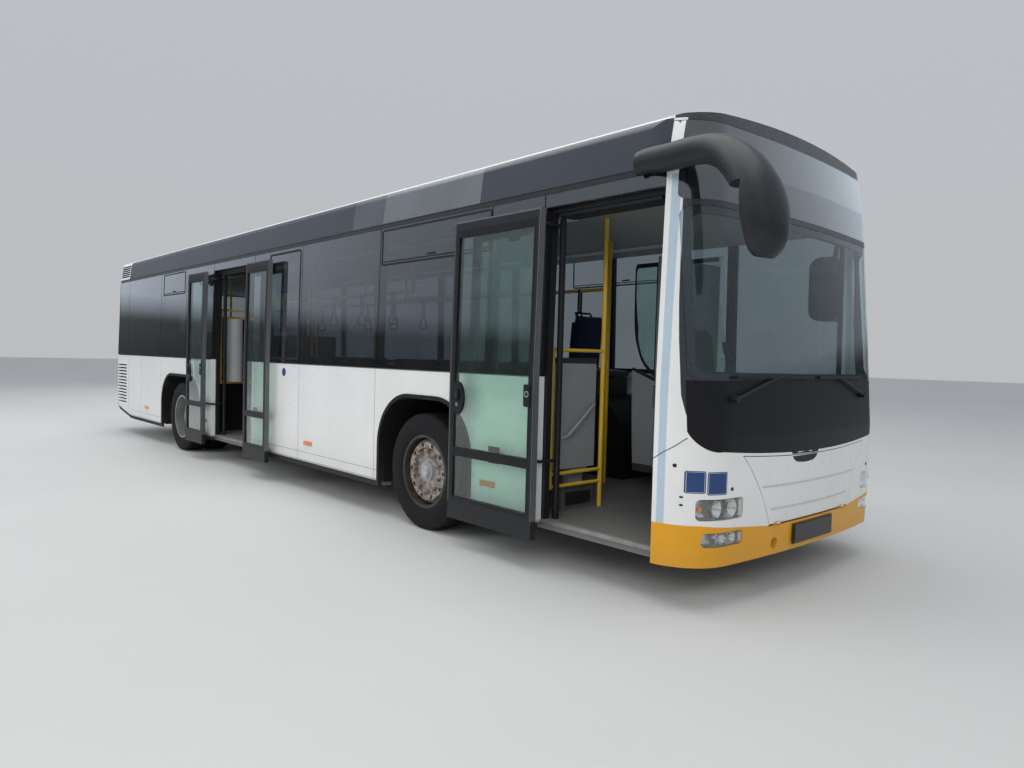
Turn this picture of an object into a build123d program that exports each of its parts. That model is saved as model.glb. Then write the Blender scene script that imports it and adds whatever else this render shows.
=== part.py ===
from build123d import *
import math
import os

os.makedirs("parts", exist_ok=True)

# City bus, low floor, two doors on the right. Millimetres, +X forward, +Y left, +Z up.
# The origin is on the ground, under the middle of the overall box. Places along the bus are
# written as distances behind the foremost point of the front face, and at() turns them into x.

# Overall sizes
LENGTH = 11980.0
WIDTH = 2500.0
CROWN_HEIGHT = 2925.0
MIRROR_LEAD = 455.0
MIRROR_REACH = 1512.0
FRONT_X = (LENGTH - MIRROR_LEAD) / 2

# Heights of the body lines
BODY_BOTTOM = 255.0
PANEL_BOTTOM = 312.0
WAIST = 1310.0
BAND_TOP = 2530.0
GUTTER = 2570.0
ROOF_LINE = 2845.0
FLOOR_TOP = 330.0
FLOOR_THICK = 26.0
REAR_FLOOR_TOP = 640.0

# Walls and skins
WALL = 50.0
ROOF_THICK = 60.0
GLASS = 8.0
BOND = 0.3
PANE_EDGE = 38.0

# Plan shape of the ends: a wide arc across the end, a tighter arc at each corner
FRONT_ARC = 9000.0
FRONT_CORNER = 330.0
REAR_ARC = 15000.0
REAR_CORNER = 190.0
CROWN_ARC = 12000.0
CANT_RAIL_ARC = 95.0

# Body sections: height, half width, set-back of the front face, set-back of the rear face
SECTIONS = [
    (BODY_BOTTOM, 1250.0, 12.0, 0.0),
    (480.0, 1250.0, 0.0, 0.0),
    (1000.0, 1250.0, 0.0, 0.0),
    (WAIST, 1250.0, 21.0, 0.0),
    (GUTTER, 1225.0, 107.0, 60.0),
    (3000.0, 1168.0, 175.0, 110.0),
]

# Splits along the bus, as distances behind the front
FRONT_SPLIT = 375.0
REAR_SPLIT = 11700.0
REAR_RISE_START = 10970.0
REAR_RISE_Z = 476.0

# Axles and wheels
FRONT_AXLE = 2700.0
REAR_AXLE = 8575.0
TYRE_RADIUS = 478.0
TYRE_WIDTH = 275.0
TYRE_FACE = 1232.0
AXLE_Z = TYRE_RADIUS
TWIN_GAP = 40.0
RIM_RADIUS = 291.0
KINGPIN_Y = 905.0

# Wheel arches: axle, half width at the foot, top height, corner radius
ARCHES = [
    (FRONT_AXLE, 624.0, 1073.0, 430.0),
    (REAR_AXLE, 765.0, 1045.0, 400.0),
]

# Doors: distance behind the front of the two edges of the hole in the skin
DOOR_TOP = 2440.0
FRONT_DOOR = (FRONT_SPLIT, 1340.0)
REAR_DOOR = (6098.0, 7362.0)
DOOR_EDGE_GAP = 21.0
LEAF_THICK = 45.0
LEAF_BOTTOM = 215.0
LEAF_TOP = 2425.0
LEAF_SHIFT = 110.0
LEAF_FRAME = 58.0
JAMB_LIP = 30.0
POST_INSET = 45.0
POST_Y = 1102.0
POST_RADIUS = 22.0
PIVOT_Y = 1165.0
ARM_RADIUS = 12.0
ARM_HEIGHTS = (735.0, 2330.0)
ARM_CLEAR_Y = 1268.0
SEAT_GAP = 0.3

# Joint between two panels of one wall or floor, and where an arch's corner is jointed, in degrees
PANEL_JOINT = 0.3
ARCH_BREAKS = (0, 30, 60, 90)


def at(behind):
    return FRONT_X - behind


def box(x0, x1, y0, y1, z0, z1):
    low = (min(x0, x1), min(y0, y1), min(z0, z1))
    size = (abs(x1 - x0), abs(y1 - y0), abs(z1 - z0))
    return Pos(*low) * Box(*size, align=(Align.MIN, Align.MIN, Align.MIN))


def save(name, shape):
    solids = [s for s in shape.solids() if s.volume > 20]
    node = solids[0] if len(solids) == 1 else Compound(children=solids)
    export_step(node, f"parts/{name}.step")


# Body envelope


def corner(half, nose, arc, radius):
    """Centre of a corner arc and the point where it leaves the wide end arc."""
    reach = math.sqrt((arc - radius) ** 2 - (half - radius) ** 2)
    cx = nose - arc + reach
    cy = half - radius
    scale = arc / (arc - radius)
    return cx, cy, nose - arc + reach * scale, cy * scale


def end_wires(half, nose, arc, radius, sign):
    """Corner arc, end arc, corner arc of one end, from its -Y side to its +Y side."""
    cx, cy, tx, ty = corner(half, nose, arc, radius)
    turn = math.atan2(ty - cy, tx - cx)
    bend = (turn + math.pi / 2) / 2
    mx = cx + radius * math.cos(bend)
    my = cy + radius * math.sin(bend)
    side = (sign * cx, half)
    mid = (sign * mx, my)
    top = (sign * tx, ty)
    return [
        ThreePointArc((side[0], -side[1]), (mid[0], -mid[1]), (top[0], -top[1])),
        ThreePointArc((top[0], -top[1]), (sign * nose, 0), top),
        ThreePointArc(top, mid, side),
    ], side


def plan_wire(z, half, front_back, rear_back, inset):
    front = FRONT_X - front_back - inset
    rear = LENGTH - FRONT_X - rear_back - inset
    w = half - inset
    front_edges, fs = end_wires(w, front, FRONT_ARC - inset, FRONT_CORNER - inset, 1)
    rear_edges, rs = end_wires(w, rear, REAR_ARC - inset, REAR_CORNER - inset, -1)
    sides = [Line((rs[0], rs[1]), (fs[0], fs[1])), Line((fs[0], -fs[1]), (rs[0], -rs[1]))]
    edges = front_edges + sides + rear_edges
    return Pos(0, 0, z) * Wire([e for part in edges for e in part.edges()])


def arch_prism(inset):
    """Cross-section of the roof, run along the bus: crown arc and cant rails."""
    half = 1225.0 - inset + 0.2
    low = 1700.0
    tilt = (1225.0 - 1168.0) / (3000.0 - GUTTER)
    crown = CROWN_HEIGHT - inset
    arc = CROWN_ARC - inset
    reach = half - tilt * (crown - 45.0 - GUTTER)
    edge_z = crown - arc + math.sqrt(arc ** 2 - reach ** 2)
    reach = half - tilt * (edge_z - GUTTER)
    foot = half + tilt * (GUTTER - low)
    wires = [
        Line((-foot, low), (-reach, edge_z)),
        ThreePointArc((-reach, edge_z), (0, crown), (reach, edge_z)),
        Line((reach, edge_z), (foot, low)),
        Line((foot, low), (-foot, low)),
    ]
    face = make_face(wires)
    tops = face.vertices().sort_by(Axis.Y)[-2:]
    face = fillet(tops, CANT_RAIL_ARC - inset * 0.5)
    prism = extrude(Plane.YZ * face, LENGTH, both=True)
    return prism


def envelope(inset):
    wires = [plan_wire(z, half, fb, rb, inset) for z, half, fb, rb in SECTIONS]
    block = Solid.make_loft(wires, ruled=True)
    low = box(-LENGTH, LENGTH, -WIDTH, WIDTH, 0, GUTTER + 100)
    return block & (arch_prism(inset) + low)


OUTER = envelope(0)
UNDER_GLASS = envelope(GLASS)
REBATE = envelope(GLASS + BOND)
INNER = envelope(WALL)
CEILING = envelope(ROOF_THICK)

RING = OUTER - INNER
GLASS_SKIN = OUTER - UNDER_GLASS
REBATE_SKIN = OUTER - REBATE


def rear_rise():
    """Wedge under the rear overhang, where the skirt climbs to the tail."""
    x0, x1 = at(REAR_RISE_START), at(LENGTH + 50)
    slope = (REAR_RISE_Z - PANEL_BOTTOM) / (LENGTH - REAR_RISE_START)
    z1 = PANEL_BOTTOM + slope * (LENGTH + 50 - REAR_RISE_START)
    outline = Polyline((x0, 100), (x0, PANEL_BOTTOM), (x1, z1), (x1, 100), (x0, 100))
    return extrude(Plane.XZ * make_face(outline), WIDTH, both=True)


def arch_profile(axle, half, top, radius, grow=0.0):
    h, r, t = half + grow, radius + grow, top + grow
    x = at(axle)
    points = [
        Line((x - h, 100), (x - h, t - r)),
        RadiusArc((x - h, t - r), (x - h + r, t), r),
        Line((x - h + r, t), (x + h - r, t)),
        RadiusArc((x + h - r, t), (x + h, t - r), r),
        Line((x + h, t - r), (x + h, 100)),
        Line((x + h, 100), (x - h, 100)),
    ]
    return make_face(points)


def arch_cut(row, y0, y1, grow=0.0):
    """Arch-shaped block between y0 and y1."""
    face = Plane.XZ * arch_profile(*row, grow)
    return Pos(0, y1, 0) * extrude(face, y1 - y0)


def side_box(side, b0, b1, z0, z1, y_in=900.0, y_out=1400.0):
    """Box on one side (+1 left, -1 right) between two distances behind the front."""
    return box(at(b0), at(b1), side * y_in, side * y_out, z0, z1)


def across(x):
    """Cross joint between two sections of the body at one place along it."""
    return box(x - PANEL_JOINT / 2, x + PANEL_JOINT / 2, -WIDTH, WIDTH, 0, 3200)


def level(z):
    """Level joint between two panels at one height."""
    return box(-LENGTH, LENGTH, -WIDTH, WIDTH, z - PANEL_JOINT / 2, z + PANEL_JOINT / 2)


def arch_strip(row, y0, y1, inner, outer):
    """Bent strip between two offsets of an arch, in the flat and curved lengths that it is made up of."""
    axle, half, top, radius = row
    strip = arch_cut(row, y0, y1, outer) - arch_cut(row, y0 - 1, y1 + 1, inner)
    joint = box(-PANEL_JOINT / 2, PANEL_JOINT / 2, y0 - 1, y1 + 1, radius / 2, radius + 2 * outer + 10)
    joints = []
    for side in (-1, 1):
        centre = Pos(at(axle) + side * (half - radius), 0, top - radius)
        joints += [centre * Rot(0, side * angle, 0) * joint for angle in ARCH_BREAKS]
    return strip - joints


# Side walls, their windows and glass

# Panes: distances behind the front of both edges, bottom, top, of the dark glass band
RIGHT_PANES = [
    (1352.0, 1885.0), (1895.0, 3394.0), (3404.0, 4888.0), (4898.0, 5680.0), (5690.0, 6088.0),
    (7374.0, 8380.0), (8390.0, 9478.0), (9488.0, 11158.0), (11168.0, REAR_SPLIT - 2),
]
LEFT_PANES = [
    (FRONT_SPLIT + 4, 1380.0), (1390.0, 2790.0), (2800.0, 4280.0), (4290.0, 5770.0),
    (5780.0, 7260.0), (7270.0, 8380.0), (8390.0, 9478.0), (9488.0, 11158.0),
    (11168.0, REAR_SPLIT - 2),
]
BLIND_PANE = 11160.0
GRILLE_BACK = (11209.0, 11873.0)
GRILLE_Z = (476.0, 1208.0)


def side_wall(side, panes, doors):
    wall = RING & side_box(side, FRONT_SPLIT, REAR_SPLIT, PANEL_BOTTOM, GUTTER)
    cuts = [REBATE_SKIN & side_box(side, FRONT_SPLIT - 1, REAR_SPLIT + 1, WAIST, BAND_TOP)]
    y0, y1 = sorted((side * 900.0, side * 1400.0))
    cuts += [arch_cut(row, y0, y1) for row in ARCHES]
    for b0, b1 in panes:
        if b1 < BLIND_PANE:
            hole = (b0 + PANE_EDGE, b1 - PANE_EDGE, WAIST + PANE_EDGE, BAND_TOP - PANE_EDGE)
            cuts.append(side_box(side, *hole))
    for b0, b1 in doors:
        cuts.append(side_box(side, b0 - 1 if b0 == FRONT_SPLIT else b0, b1, 0, DOOR_TOP))
    cuts.append(side_box(side, GRILLE_BACK[0], REAR_SPLIT + 1, GRILLE_Z[0], GRILLE_Z[1]))
    cuts.append(rear_rise())
    sill, head = WAIST + PANE_EDGE, BAND_TOP - PANE_EDGE
    low = box(-LENGTH, LENGTH, -WIDTH, WIDTH, 0, sill)
    high = box(-LENGTH, LENGTH, -WIDTH, WIDTH, DOOR_TOP - 10, head)
    for axle, half, top, radius in ARCHES:
        for offset in (half, half - radius):
            cuts += [across(at(axle) - offset) & low, across(at(axle) + offset) & low]
    for b0, b1 in doors:
        cuts += [across(at(b0)) & high, across(at(b1)) & high]
    cuts += [level(sill), level(head)]
    return wall - cuts


def side_glass(side, panes, doors):
    result = []
    for b0, b1 in panes:
        pane = GLASS_SKIN & side_box(side, b0, b1, WAIST + 2, BAND_TOP - 2)
        result.append(pane)
    glass = Compound(children=[s for p in result for s in p.solids()])
    for b0, b1 in doors:
        header = side_box(side, b0, b1, DOOR_TOP + 4, BAND_TOP - 2)
        glass = Compound(children=glass.solids() + (GLASS_SKIN & header).solids())
    return glass


DOORS = [FRONT_DOOR, REAR_DOOR]


def build_sides():
    save("side_wall_right", side_wall(-1, RIGHT_PANES, DOORS))
    save("side_wall_left", side_wall(1, LEFT_PANES, []))
    headers = [(FRONT_SPLIT + 4, RIGHT_PANES[0][0] - 10), (RIGHT_PANES[4][1] + 10, RIGHT_PANES[5][0] - 10)]
    panes = side_glass(-1, RIGHT_PANES, headers).solids() + side_glass(1, LEFT_PANES, []).solids()
    save("side_glass", Compound(children=panes))


# Roof and cove panels

HATCHES = (4300.0, 9300.0)
HATCH_SIZE = (960.0, 760.0)
HATCH_LIP = 45.0


def build_roof():
    shell = OUTER - CEILING
    span = box(at(-500), at(LENGTH + 500), -WIDTH, WIDTH, ROOF_LINE, 3200)
    roof = shell & span
    hatch_holes = []
    for behind in HATCHES:
        hatch_holes.append(Pos(at(behind), 0, 2880) * Box(HATCH_SIZE[0] - 120, HATCH_SIZE[1] - 120, 300))
    roof = roof - hatch_holes
    save("roof", roof)
    cove = RING & box(at(FRONT_SPLIT), at(REAR_SPLIT), -WIDTH, WIDTH, GUTTER + BOND, ROOF_LINE)
    slot_low = side_slots()
    save("cove_panels", cove - slot_low)
    lids = []
    for behind in HATCHES:
        crown = Pos(at(behind), 0, CROWN_HEIGHT + 0.5)
        lid = Box(HATCH_SIZE[0], HATCH_SIZE[1], 42, align=(Align.CENTER, Align.CENTER, Align.MIN))
        lid = fillet(lid.edges().filter_by(Axis.Z), 70)
        lid = chamfer(lid.faces().sort_by(Axis.Z)[-1].edges(), 18)
        lids.append(crown * lid)
    save("roof_hatches", Compound(children=lids))


# Air slots in the cove beside the engine bay: first and last distance behind the front
COVE_SLOTS = (11230.0, 11660.0)
COVE_SLOT_Z = (2612.0, 2812.0)
COVE_SLOT_PITCH = 34.0
COVE_SLOT_HEIGHT = 17.0


def side_slots():
    slots = []
    z = COVE_SLOT_Z[0]
    while z < COVE_SLOT_Z[1]:
        for side in (-1, 1):
            slots.append(side_box(side, *COVE_SLOTS, z, z + COVE_SLOT_HEIGHT))
        z += COVE_SLOT_PITCH
    return slots


# Rods and small revolved pieces


def rod(p, q, radius):
    """Round bar from p to q."""
    direction = (q[0] - p[0], q[1] - p[1], q[2] - p[2])
    length = math.sqrt(sum(d * d for d in direction))
    plane = Plane(origin=p, z_dir=direction)
    return plane * Cylinder(radius, length, align=(Align.CENTER, Align.CENTER, Align.MIN))


def rail(points, radius):
    """Round bar along straight legs, with a ball at each bend."""
    bar = rod(points[0], points[1], radius)
    for p, q in zip(points[1:], points[2:]):
        bar = bar + Pos(*p) * Sphere(radius) + rod(p, q, radius)
    return bar


def upright(x, y, z0, z1, radius):
    return Pos(x, y, z0) * Cylinder(radius, z1 - z0, align=(Align.CENTER, Align.CENTER, Align.MIN))


# Lid hinges: radius of the barrel and of the pin, half length of the barrel, width of an ear

HINGE_RADIUS = 5.0
HINGE_PIN = 2.5
HINGE_PLAY = 0.05
BARREL_HALF = 16.0
EAR_WIDTH = 10.0
EAR_GAP = 1.0
NOTCH = 3.0
FLAP_HINGE_Y = (-450.0, 450.0)
LID_HINGE_Y = (-400.0, 400.0)


def hinge_fixed(x, y, z, foot_x, foot_z0, foot_z1, neck_x):
    """Pin and two ears with their feet, which belong to the piece that stays."""
    part = rod((x, y - BARREL_HALF - EAR_WIDTH, z), (x, y + BARREL_HALF + EAR_WIDTH, z), HINGE_PIN)
    for side in (-1, 1):
        inner = y + side * (BARREL_HALF + EAR_GAP)
        outer = y + side * (BARREL_HALF + EAR_WIDTH)
        part = part + rod((x, inner, z), (x, outer, z), HINGE_RADIUS)
        part = part + box(x, neck_x, inner, outer, z, foot_z0)
        part = part + box(x, foot_x, inner, outer, foot_z0, foot_z1)
    return part


def hinge_moving(x, y, z, tab_x, tab_z):
    """Barrel of the piece that swings, with its tab."""
    part = rod((x, y - BARREL_HALF, z), (x, y + BARREL_HALF, z), HINGE_RADIUS)
    part = part + box(x, tab_x, y - BARREL_HALF, y + BARREL_HALF, z, tab_z)
    hole = rod((x, y - BARREL_HALF - 1, z), (x, y + BARREL_HALF + 1, z), HINGE_PIN + HINGE_PLAY)
    return part - hole


def hinge_notch(x0, x1, y, z0, z1):
    """Room around the ears and the barrel in the edge of the swinging piece."""
    half = BARREL_HALF + EAR_WIDTH + NOTCH
    return box(x0, x1, y - half, y + half, z0, z1)


# Front end

SCREEN_TOP = 2330.0
SCREEN_BOTTOM = 1330.0
SCREEN_HALF = 1186.0
BAND = 34.0
BUMPER_TOP = 500.0
FLAP_TOP_HALF = 838.0
FLAP_BOTTOM_HALF = 545.0
FLAP_WAIST = (676.0, 700.0)
FLAP_SHOULDER = 892.0
FLAP_BOTTOM = 445.0
FLAP_SWING = 8.0
PANEL_DROP = 878.0
LID_GAP = 6.0
FLAP_PIVOT = (FRONT_X - 8, FLAP_BOTTOM + LID_GAP)
MASK_WALL = 45.0


def front_prism(wires):
    """Outline drawn in the YZ plane, run along X through the nose."""
    return Pos(at(900), 0, 0) * extrude(Plane.YZ * make_face(wires), 1100)


def panel_outline(gap=0.0):
    """Dark panel under the windscreen: flat top, bottom hung as a shallow bowl."""
    top = SCREEN_BOTTOM - gap
    half = SCREEN_HALF + 4 - gap
    low = PANEL_DROP + gap
    return [
        Line((-half, top), (half, top)),
        Line((half, top), (half, 1040)),
        ThreePointArc((half, 1040), (1135 - gap, 955 + gap), (1010, 922 + gap)),
        ThreePointArc((1010, 922 + gap), (0, low), (-1010, 922 + gap)),
        ThreePointArc((-1010, 922 + gap), (-1135 + gap, 955 + gap), (-half, 1040)),
        Line((-half, 1040), (-half, top)),
    ]


def flap_outline(gap=0.0):
    """Service flap under the dark panel; its slanted sides move in by more or less than the gap."""
    top_half = FLAP_TOP_HALF - 2.4 * gap
    low_half = FLAP_BOTTOM_HALF - 0.6 * gap
    low = FLAP_BOTTOM + gap
    top = FLAP_SHOULDER - gap
    mid_half, mid = FLAP_WAIST[0] - 1.25 * gap, FLAP_WAIST[1]
    return [
        ThreePointArc((-top_half, top), (0, PANEL_DROP - 16 - gap), (top_half, top)),
        ThreePointArc((top_half, top), (mid_half, mid), (low_half, low)),
        Line((low_half, low), (-low_half, low)),
        ThreePointArc((-low_half, low), (-mid_half, mid), (-top_half, top)),
    ]


def screen_outline(z0, z1, gap, radius):
    half = SCREEN_HALF - gap
    mid = (z0 + z1) / 2
    face = Pos(0, mid) * RectangleRounded(2 * half, z1 - z0 - 2 * gap, radius)
    return Pos(at(900), 0, 0) * extrude(Plane.YZ * face, 1100)


def bumper_block():
    """Space of the bumper: top edge dips to the foot of the flap."""
    low_half = FLAP_BOTTOM_HALF + 4
    wires = Polyline(
        (-1400, 100), (-1400, BUMPER_TOP), (-1130, BUMPER_TOP), (-low_half - 220, BUMPER_TOP - 34),
        (-low_half, FLAP_BOTTOM), (low_half, FLAP_BOTTOM), (low_half + 220, BUMPER_TOP - 34),
        (1130, BUMPER_TOP), (1400, BUMPER_TOP), (1400, 100), (-1400, 100))
    return front_prism(wires)


# Lamp housings on each side of the nose: name, inner and outer Y, bottom, top
LAMP_POCKETS = [
    ("head", 818.0, 1152.0, 528.0, 652.0),
    ("fog", 812.0, 1120.0, 372.0, 456.0),
]


def lamp_prism(row, side, gap):
    name, y0, y1, z0, z1 = row
    w, h = y1 - y0 - 2 * gap, z1 - z0 - 2 * gap
    face = Pos(side * (y0 + y1) / 2, (z0 + z1) / 2) * RectangleRounded(w, h, 26)
    return Pos(at(420), 0, 0) * extrude(Plane.YZ * face, 600)


def build_front():
    nose = box(at(FRONT_SPLIT), at(-600), -WIDTH, WIDTH, 0, 3200)
    ring = OUTER - envelope(MASK_WALL)
    bumper_space = bumper_block()
    screen = screen_outline(SCREEN_BOTTOM, SCREEN_TOP, 0, 60)
    screen_hole = screen_outline(SCREEN_BOTTOM, SCREEN_TOP, 42, 60)
    sign = screen_outline(SCREEN_TOP + BAND, ROOF_LINE - 14, 0, 30)
    sign_hole = screen_outline(SCREEN_TOP + BAND, ROOF_LINE - 14, 42, 30)
    panel_seat = front_prism(panel_outline())
    flap_seat = front_prism(flap_outline())
    lamp_cuts = [lamp_prism(row, side, 0) for row in LAMP_POCKETS for side in (-1, 1)]
    mask = (ring & nose) & box(at(2000), at(-900), -WIDTH, WIDTH, BODY_BOTTOM, ROOF_LINE - BOND)
    cuts = [bumper_space, screen_hole, sign_hole, flap_seat, REBATE_SKIN & screen, REBATE_SKIN & sign,
            REBATE_SKIN & panel_seat] + lamp_cuts
    save("front_mask", mask - cuts)
    front_skin = GLASS_SKIN & nose
    save("windscreen", front_skin & screen_outline(SCREEN_BOTTOM, SCREEN_TOP, 2, 58))
    save("destination_glass", front_skin & screen_outline(SCREEN_TOP + BAND, ROOF_LINE - 14, 2, 28))
    save("windscreen_panel", front_skin & front_prism(panel_outline(2.0)))
    lid_skin = (OUTER - envelope(MASK_WALL - 5)) & nose
    flap = lid_skin & front_prism(flap_outline(LID_GAP))
    pivot_x, pivot_z = FLAP_PIVOT
    for y in FLAP_HINGE_Y:
        flap = flap - hinge_notch(pivot_x - 14, pivot_x + 20, y, pivot_z - 5, pivot_z + 10)
        flap = flap + hinge_moving(pivot_x, y, pivot_z, pivot_x - 20, pivot_z + 5)
    save("front_flap", flap)
    bumper = (ring & nose) & bumper_space
    bumper = bumper & box(at(FRONT_SPLIT), at(-600), -WIDTH, WIDTH, BODY_BOTTOM, 600)
    swing = FLAP_BOTTOM_HALF + 4
    bumper = bumper - box(at(FRONT_SPLIT), at(-600), -swing, swing, FLAP_BOTTOM - FLAP_SWING, 600)
    tow_hole = rod((at(FRONT_SPLIT), TOW_Y, TOW_Z), (at(-100), TOW_Y, TOW_Z), TOW_HOLE)
    bumper = bumper - (lamp_cuts + [tow_hole])
    for y in FLAP_HINGE_Y:
        bumper = bumper + hinge_fixed(pivot_x, y, pivot_z, pivot_x - 22, pivot_z - 7, pivot_z - 20, pivot_x - 5)
    save("front_bumper", bumper)
    lamp_skin = (envelope(2) - envelope(MASK_WALL)) & nose
    lamps = [lamp_skin & lamp_prism(row, side, 0.3) for row in LAMP_POCKETS for side in (-1, 1)]
    save("front_lamps", Compound(children=[s for lamp in lamps for s in lamp.solids()]))


# Rear end

REAR_SCREEN = (1420.0, 2500.0, 1130.0)
ENGINE_LID = (500.0, 1290.0, 1020.0)
ENGINE_LID_GAP = 8.0
LID_PIVOT = (FRONT_X - LENGTH + 3, ENGINE_LID[1] - ENGINE_LID_GAP)
REAR_BUMPER_TOP = 500.0
REAR_LAMP_Y = (1062.0, 1162.0)
REAR_LAMP_Z = [(620.0, 900.0), (2560.0, 2650.0)]


def rear_prism(half, z0, z1, radius, gap=0.0):
    face = Pos(0, (z0 + z1) / 2) * RectangleRounded(2 * (half - gap), z1 - z0 - 2 * gap, radius)
    return Pos(at(LENGTH + 400), 0, 0) * extrude(Plane.YZ * face, 900)


def rear_lamp_prisms(gap):
    result = []
    for side in (-1, 1):
        for z0, z1 in REAR_LAMP_Z:
            y_mid = side * sum(REAR_LAMP_Y) / 2
            w = REAR_LAMP_Y[1] - REAR_LAMP_Y[0] - 2 * gap
            face = Pos(y_mid, (z0 + z1) / 2) * RectangleRounded(w, z1 - z0 - 2 * gap, 20)
            result.append(Pos(at(LENGTH + 400), 0, 0) * extrude(Plane.YZ * face, 700))
    return result


def build_rear():
    tail = box(at(REAR_SPLIT), at(LENGTH + 600), -WIDTH, WIDTH, 0, 3200)
    shell = RING & tail
    body = shell & box(at(9000), at(LENGTH + 600), -WIDTH, WIDTH, BODY_BOTTOM, ROOF_LINE - BOND)
    z0, z1, half = REAR_SCREEN
    lid_z0, lid_z1, lid_half = ENGINE_LID
    screen = rear_prism(half, z0, z1, 60)
    grille_cut = [side_box(s, REAR_SPLIT - 1, GRILLE_BACK[1], *GRILLE_Z) for s in (-1, 1)]
    cuts = [rear_rise(), rear_prism(half, z0, z1, 60, 45), REBATE_SKIN & screen,
            rear_prism(lid_half, lid_z0, lid_z1, 30)] + rear_lamp_prisms(0) + grille_cut
    wall = body - cuts
    pivot_x, pivot_z = LID_PIVOT
    for y in LID_HINGE_Y:
        wall = wall + hinge_fixed(pivot_x, y, pivot_z, pivot_x + 14, lid_z1 + 1, lid_z1 + 12, pivot_x + 3)
    save("rear_wall", wall)
    save("rear_glass", (GLASS_SKIN & tail) & rear_prism(half, z0, z1, 58, 2))
    lid_skin = (OUTER - envelope(WALL - 8)) & tail
    slots = [rear_prism(760, z, z + 24, 11) for z in (700, 760, 820, 880, 940, 1000, 1060, 1120)]
    lid = (lid_skin & rear_prism(lid_half, lid_z0, lid_z1, 26, ENGINE_LID_GAP)) - slots
    for y in LID_HINGE_Y:
        lid = lid - hinge_notch(pivot_x - 8, pivot_x + 12, y, pivot_z - 10, pivot_z + 3)
        lid = lid + hinge_moving(pivot_x, y, pivot_z, pivot_x + 16, pivot_z - 5)
    save("engine_lid", lid)
    lamp_skin = (envelope(1) - envelope(WALL)) & tail
    lamps = [s for p in rear_lamp_prisms(0.3) for s in (lamp_skin & p).solids()]
    save("rear_lamps", Compound(children=lamps))
    save("engine_grilles", grille_panels())


GRILLE_SLATS = 13
GRILLE_FRAME = 30.0


def grille_panels():
    """Side grilles of the engine bay: a frame with sloped slats, one on each side."""
    z0, z1 = GRILLE_Z[0] + SEAT_GAP, GRILLE_Z[1] - SEAT_GAP
    b0, b1 = GRILLE_BACK[0] + SEAT_GAP, GRILLE_BACK[1] - SEAT_GAP
    skin = OUTER - envelope(30)
    result = []
    pitch = (z1 - z0 - 2 * GRILLE_FRAME) / GRILLE_SLATS
    for side in (-1, 1):
        panel = skin & side_box(side, b0, b1, z0, z1)
        slots = []
        for i in range(GRILLE_SLATS):
            z = z0 + GRILLE_FRAME + pitch * i
            slots.append(side_box(side, b0 + GRILLE_FRAME, b1 - GRILLE_FRAME, z, z + pitch * 0.45))
        result += (panel - slots).solids()
    return Compound(children=result)


# Underframe and floor

SILL_Y = 1196.0
LOW_END = 7900.0
HIGH_END = 10400.0
BENCH_TOP = 1010.0
FLOOR_FRONT = 430.0
FLOOR_REAR = LENGTH - 60
FRONT_RAIL_Y = 420.0
REAR_RAIL_Y = 290.0
BEAM_DEPTH = 38.0
REAR_BEAM_DEPTH = 56.0

# Front towing socket: place, radius and depth of its bore, half size of its block
TOW_Y = -470.0
TOW_Z = 325.0
TOW_RADIUS = 20.0
TOW_DEPTH = 150.0
TOW_BLOCK = 38.0
TOW_FACE = 82.0
TOW_HOLE = 36.0
TUB_INNER = 575.0
TUB_WALL = 14.0
TUB_FOOT = 300.0
RISER_THICK = 30.0

# Floor levels: front edge, rear edge, top
FLOORS = [
    (FLOOR_FRONT, LOW_END, FLOOR_TOP),
    (LOW_END, HIGH_END, REAR_FLOOR_TOP),
    (HIGH_END, FLOOR_REAR, BENCH_TOP),
]


def build_floor():
    """Plates in sections with their beams, a riser at each step and the towing block in front."""
    plates = []
    risers = []
    for front, rear, top in FLOORS:
        if plates:
            risers.append(box(at(front), at(front) + RISER_THICK, -SILL_Y, SILL_Y, below + SEAT_GAP, top))
        plates.append(box(at(rear), at(front) - SEAT_GAP, -SILL_Y, SILL_Y, top - FLOOR_THICK, top))
        below = top
    low = FLOOR_TOP - FLOOR_THICK
    for y in (-1150, -FRONT_RAIL_Y, FRONT_RAIL_Y, 1150):
        plates[0] += box(at(LOW_END), at(FLOOR_FRONT) - SEAT_GAP, y - 35, y + 35, low - BEAM_DEPTH, low)
    for behind in (461, 1500, 3650, 4600, 5550, 6500, 7450):
        plates[0] += box(at(behind) - 30, at(behind) + 30, -1150, 1150, low - BEAM_DEPTH, low)
    low = REAR_FLOOR_TOP - FLOOR_THICK
    for y in (-REAR_RAIL_Y, REAR_RAIL_Y):
        plates[1] += box(at(HIGH_END), at(LOW_END) - SEAT_GAP, y - 30, y + 30, low - REAR_BEAM_DEPTH, low)
    tow = box(at(FLOOR_FRONT), at(TOW_FACE), TOW_Y - TOW_BLOCK, TOW_Y + TOW_BLOCK, TOW_Z - TOW_BLOCK, TOW_Z + TOW_BLOCK)
    tow -= rod((at(TOW_FACE + TOW_DEPTH), TOW_Y, TOW_Z), (at(TOW_FACE - 10), TOW_Y, TOW_Z), TOW_RADIUS)
    cuts = []
    for row in ARCHES:
        for y0, y1 in ((-1300, -TUB_INNER + TUB_WALL), (TUB_INNER - TUB_WALL, 1300)):
            cuts.append(arch_cut(row, y0, y1, TUB_WALL + SEAT_GAP))
        reach = row[1] + TUB_WALL + SEAT_GAP
        cuts += [across(at(row[0]) - reach), across(at(row[0]) + reach)]
    inside = envelope(WALL + SEAT_GAP) & box(-LENGTH, LENGTH, -WIDTH, WIDTH, 200, BENCH_TOP + 50)
    pieces = [s for piece in plates + risers + [tow] for s in ((piece - cuts) & inside).solids()]
    save("floor_frame", Compound(children=pieces))


LIP_WIDTH = 34.0
LIP_PROUD = 9.0


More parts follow.
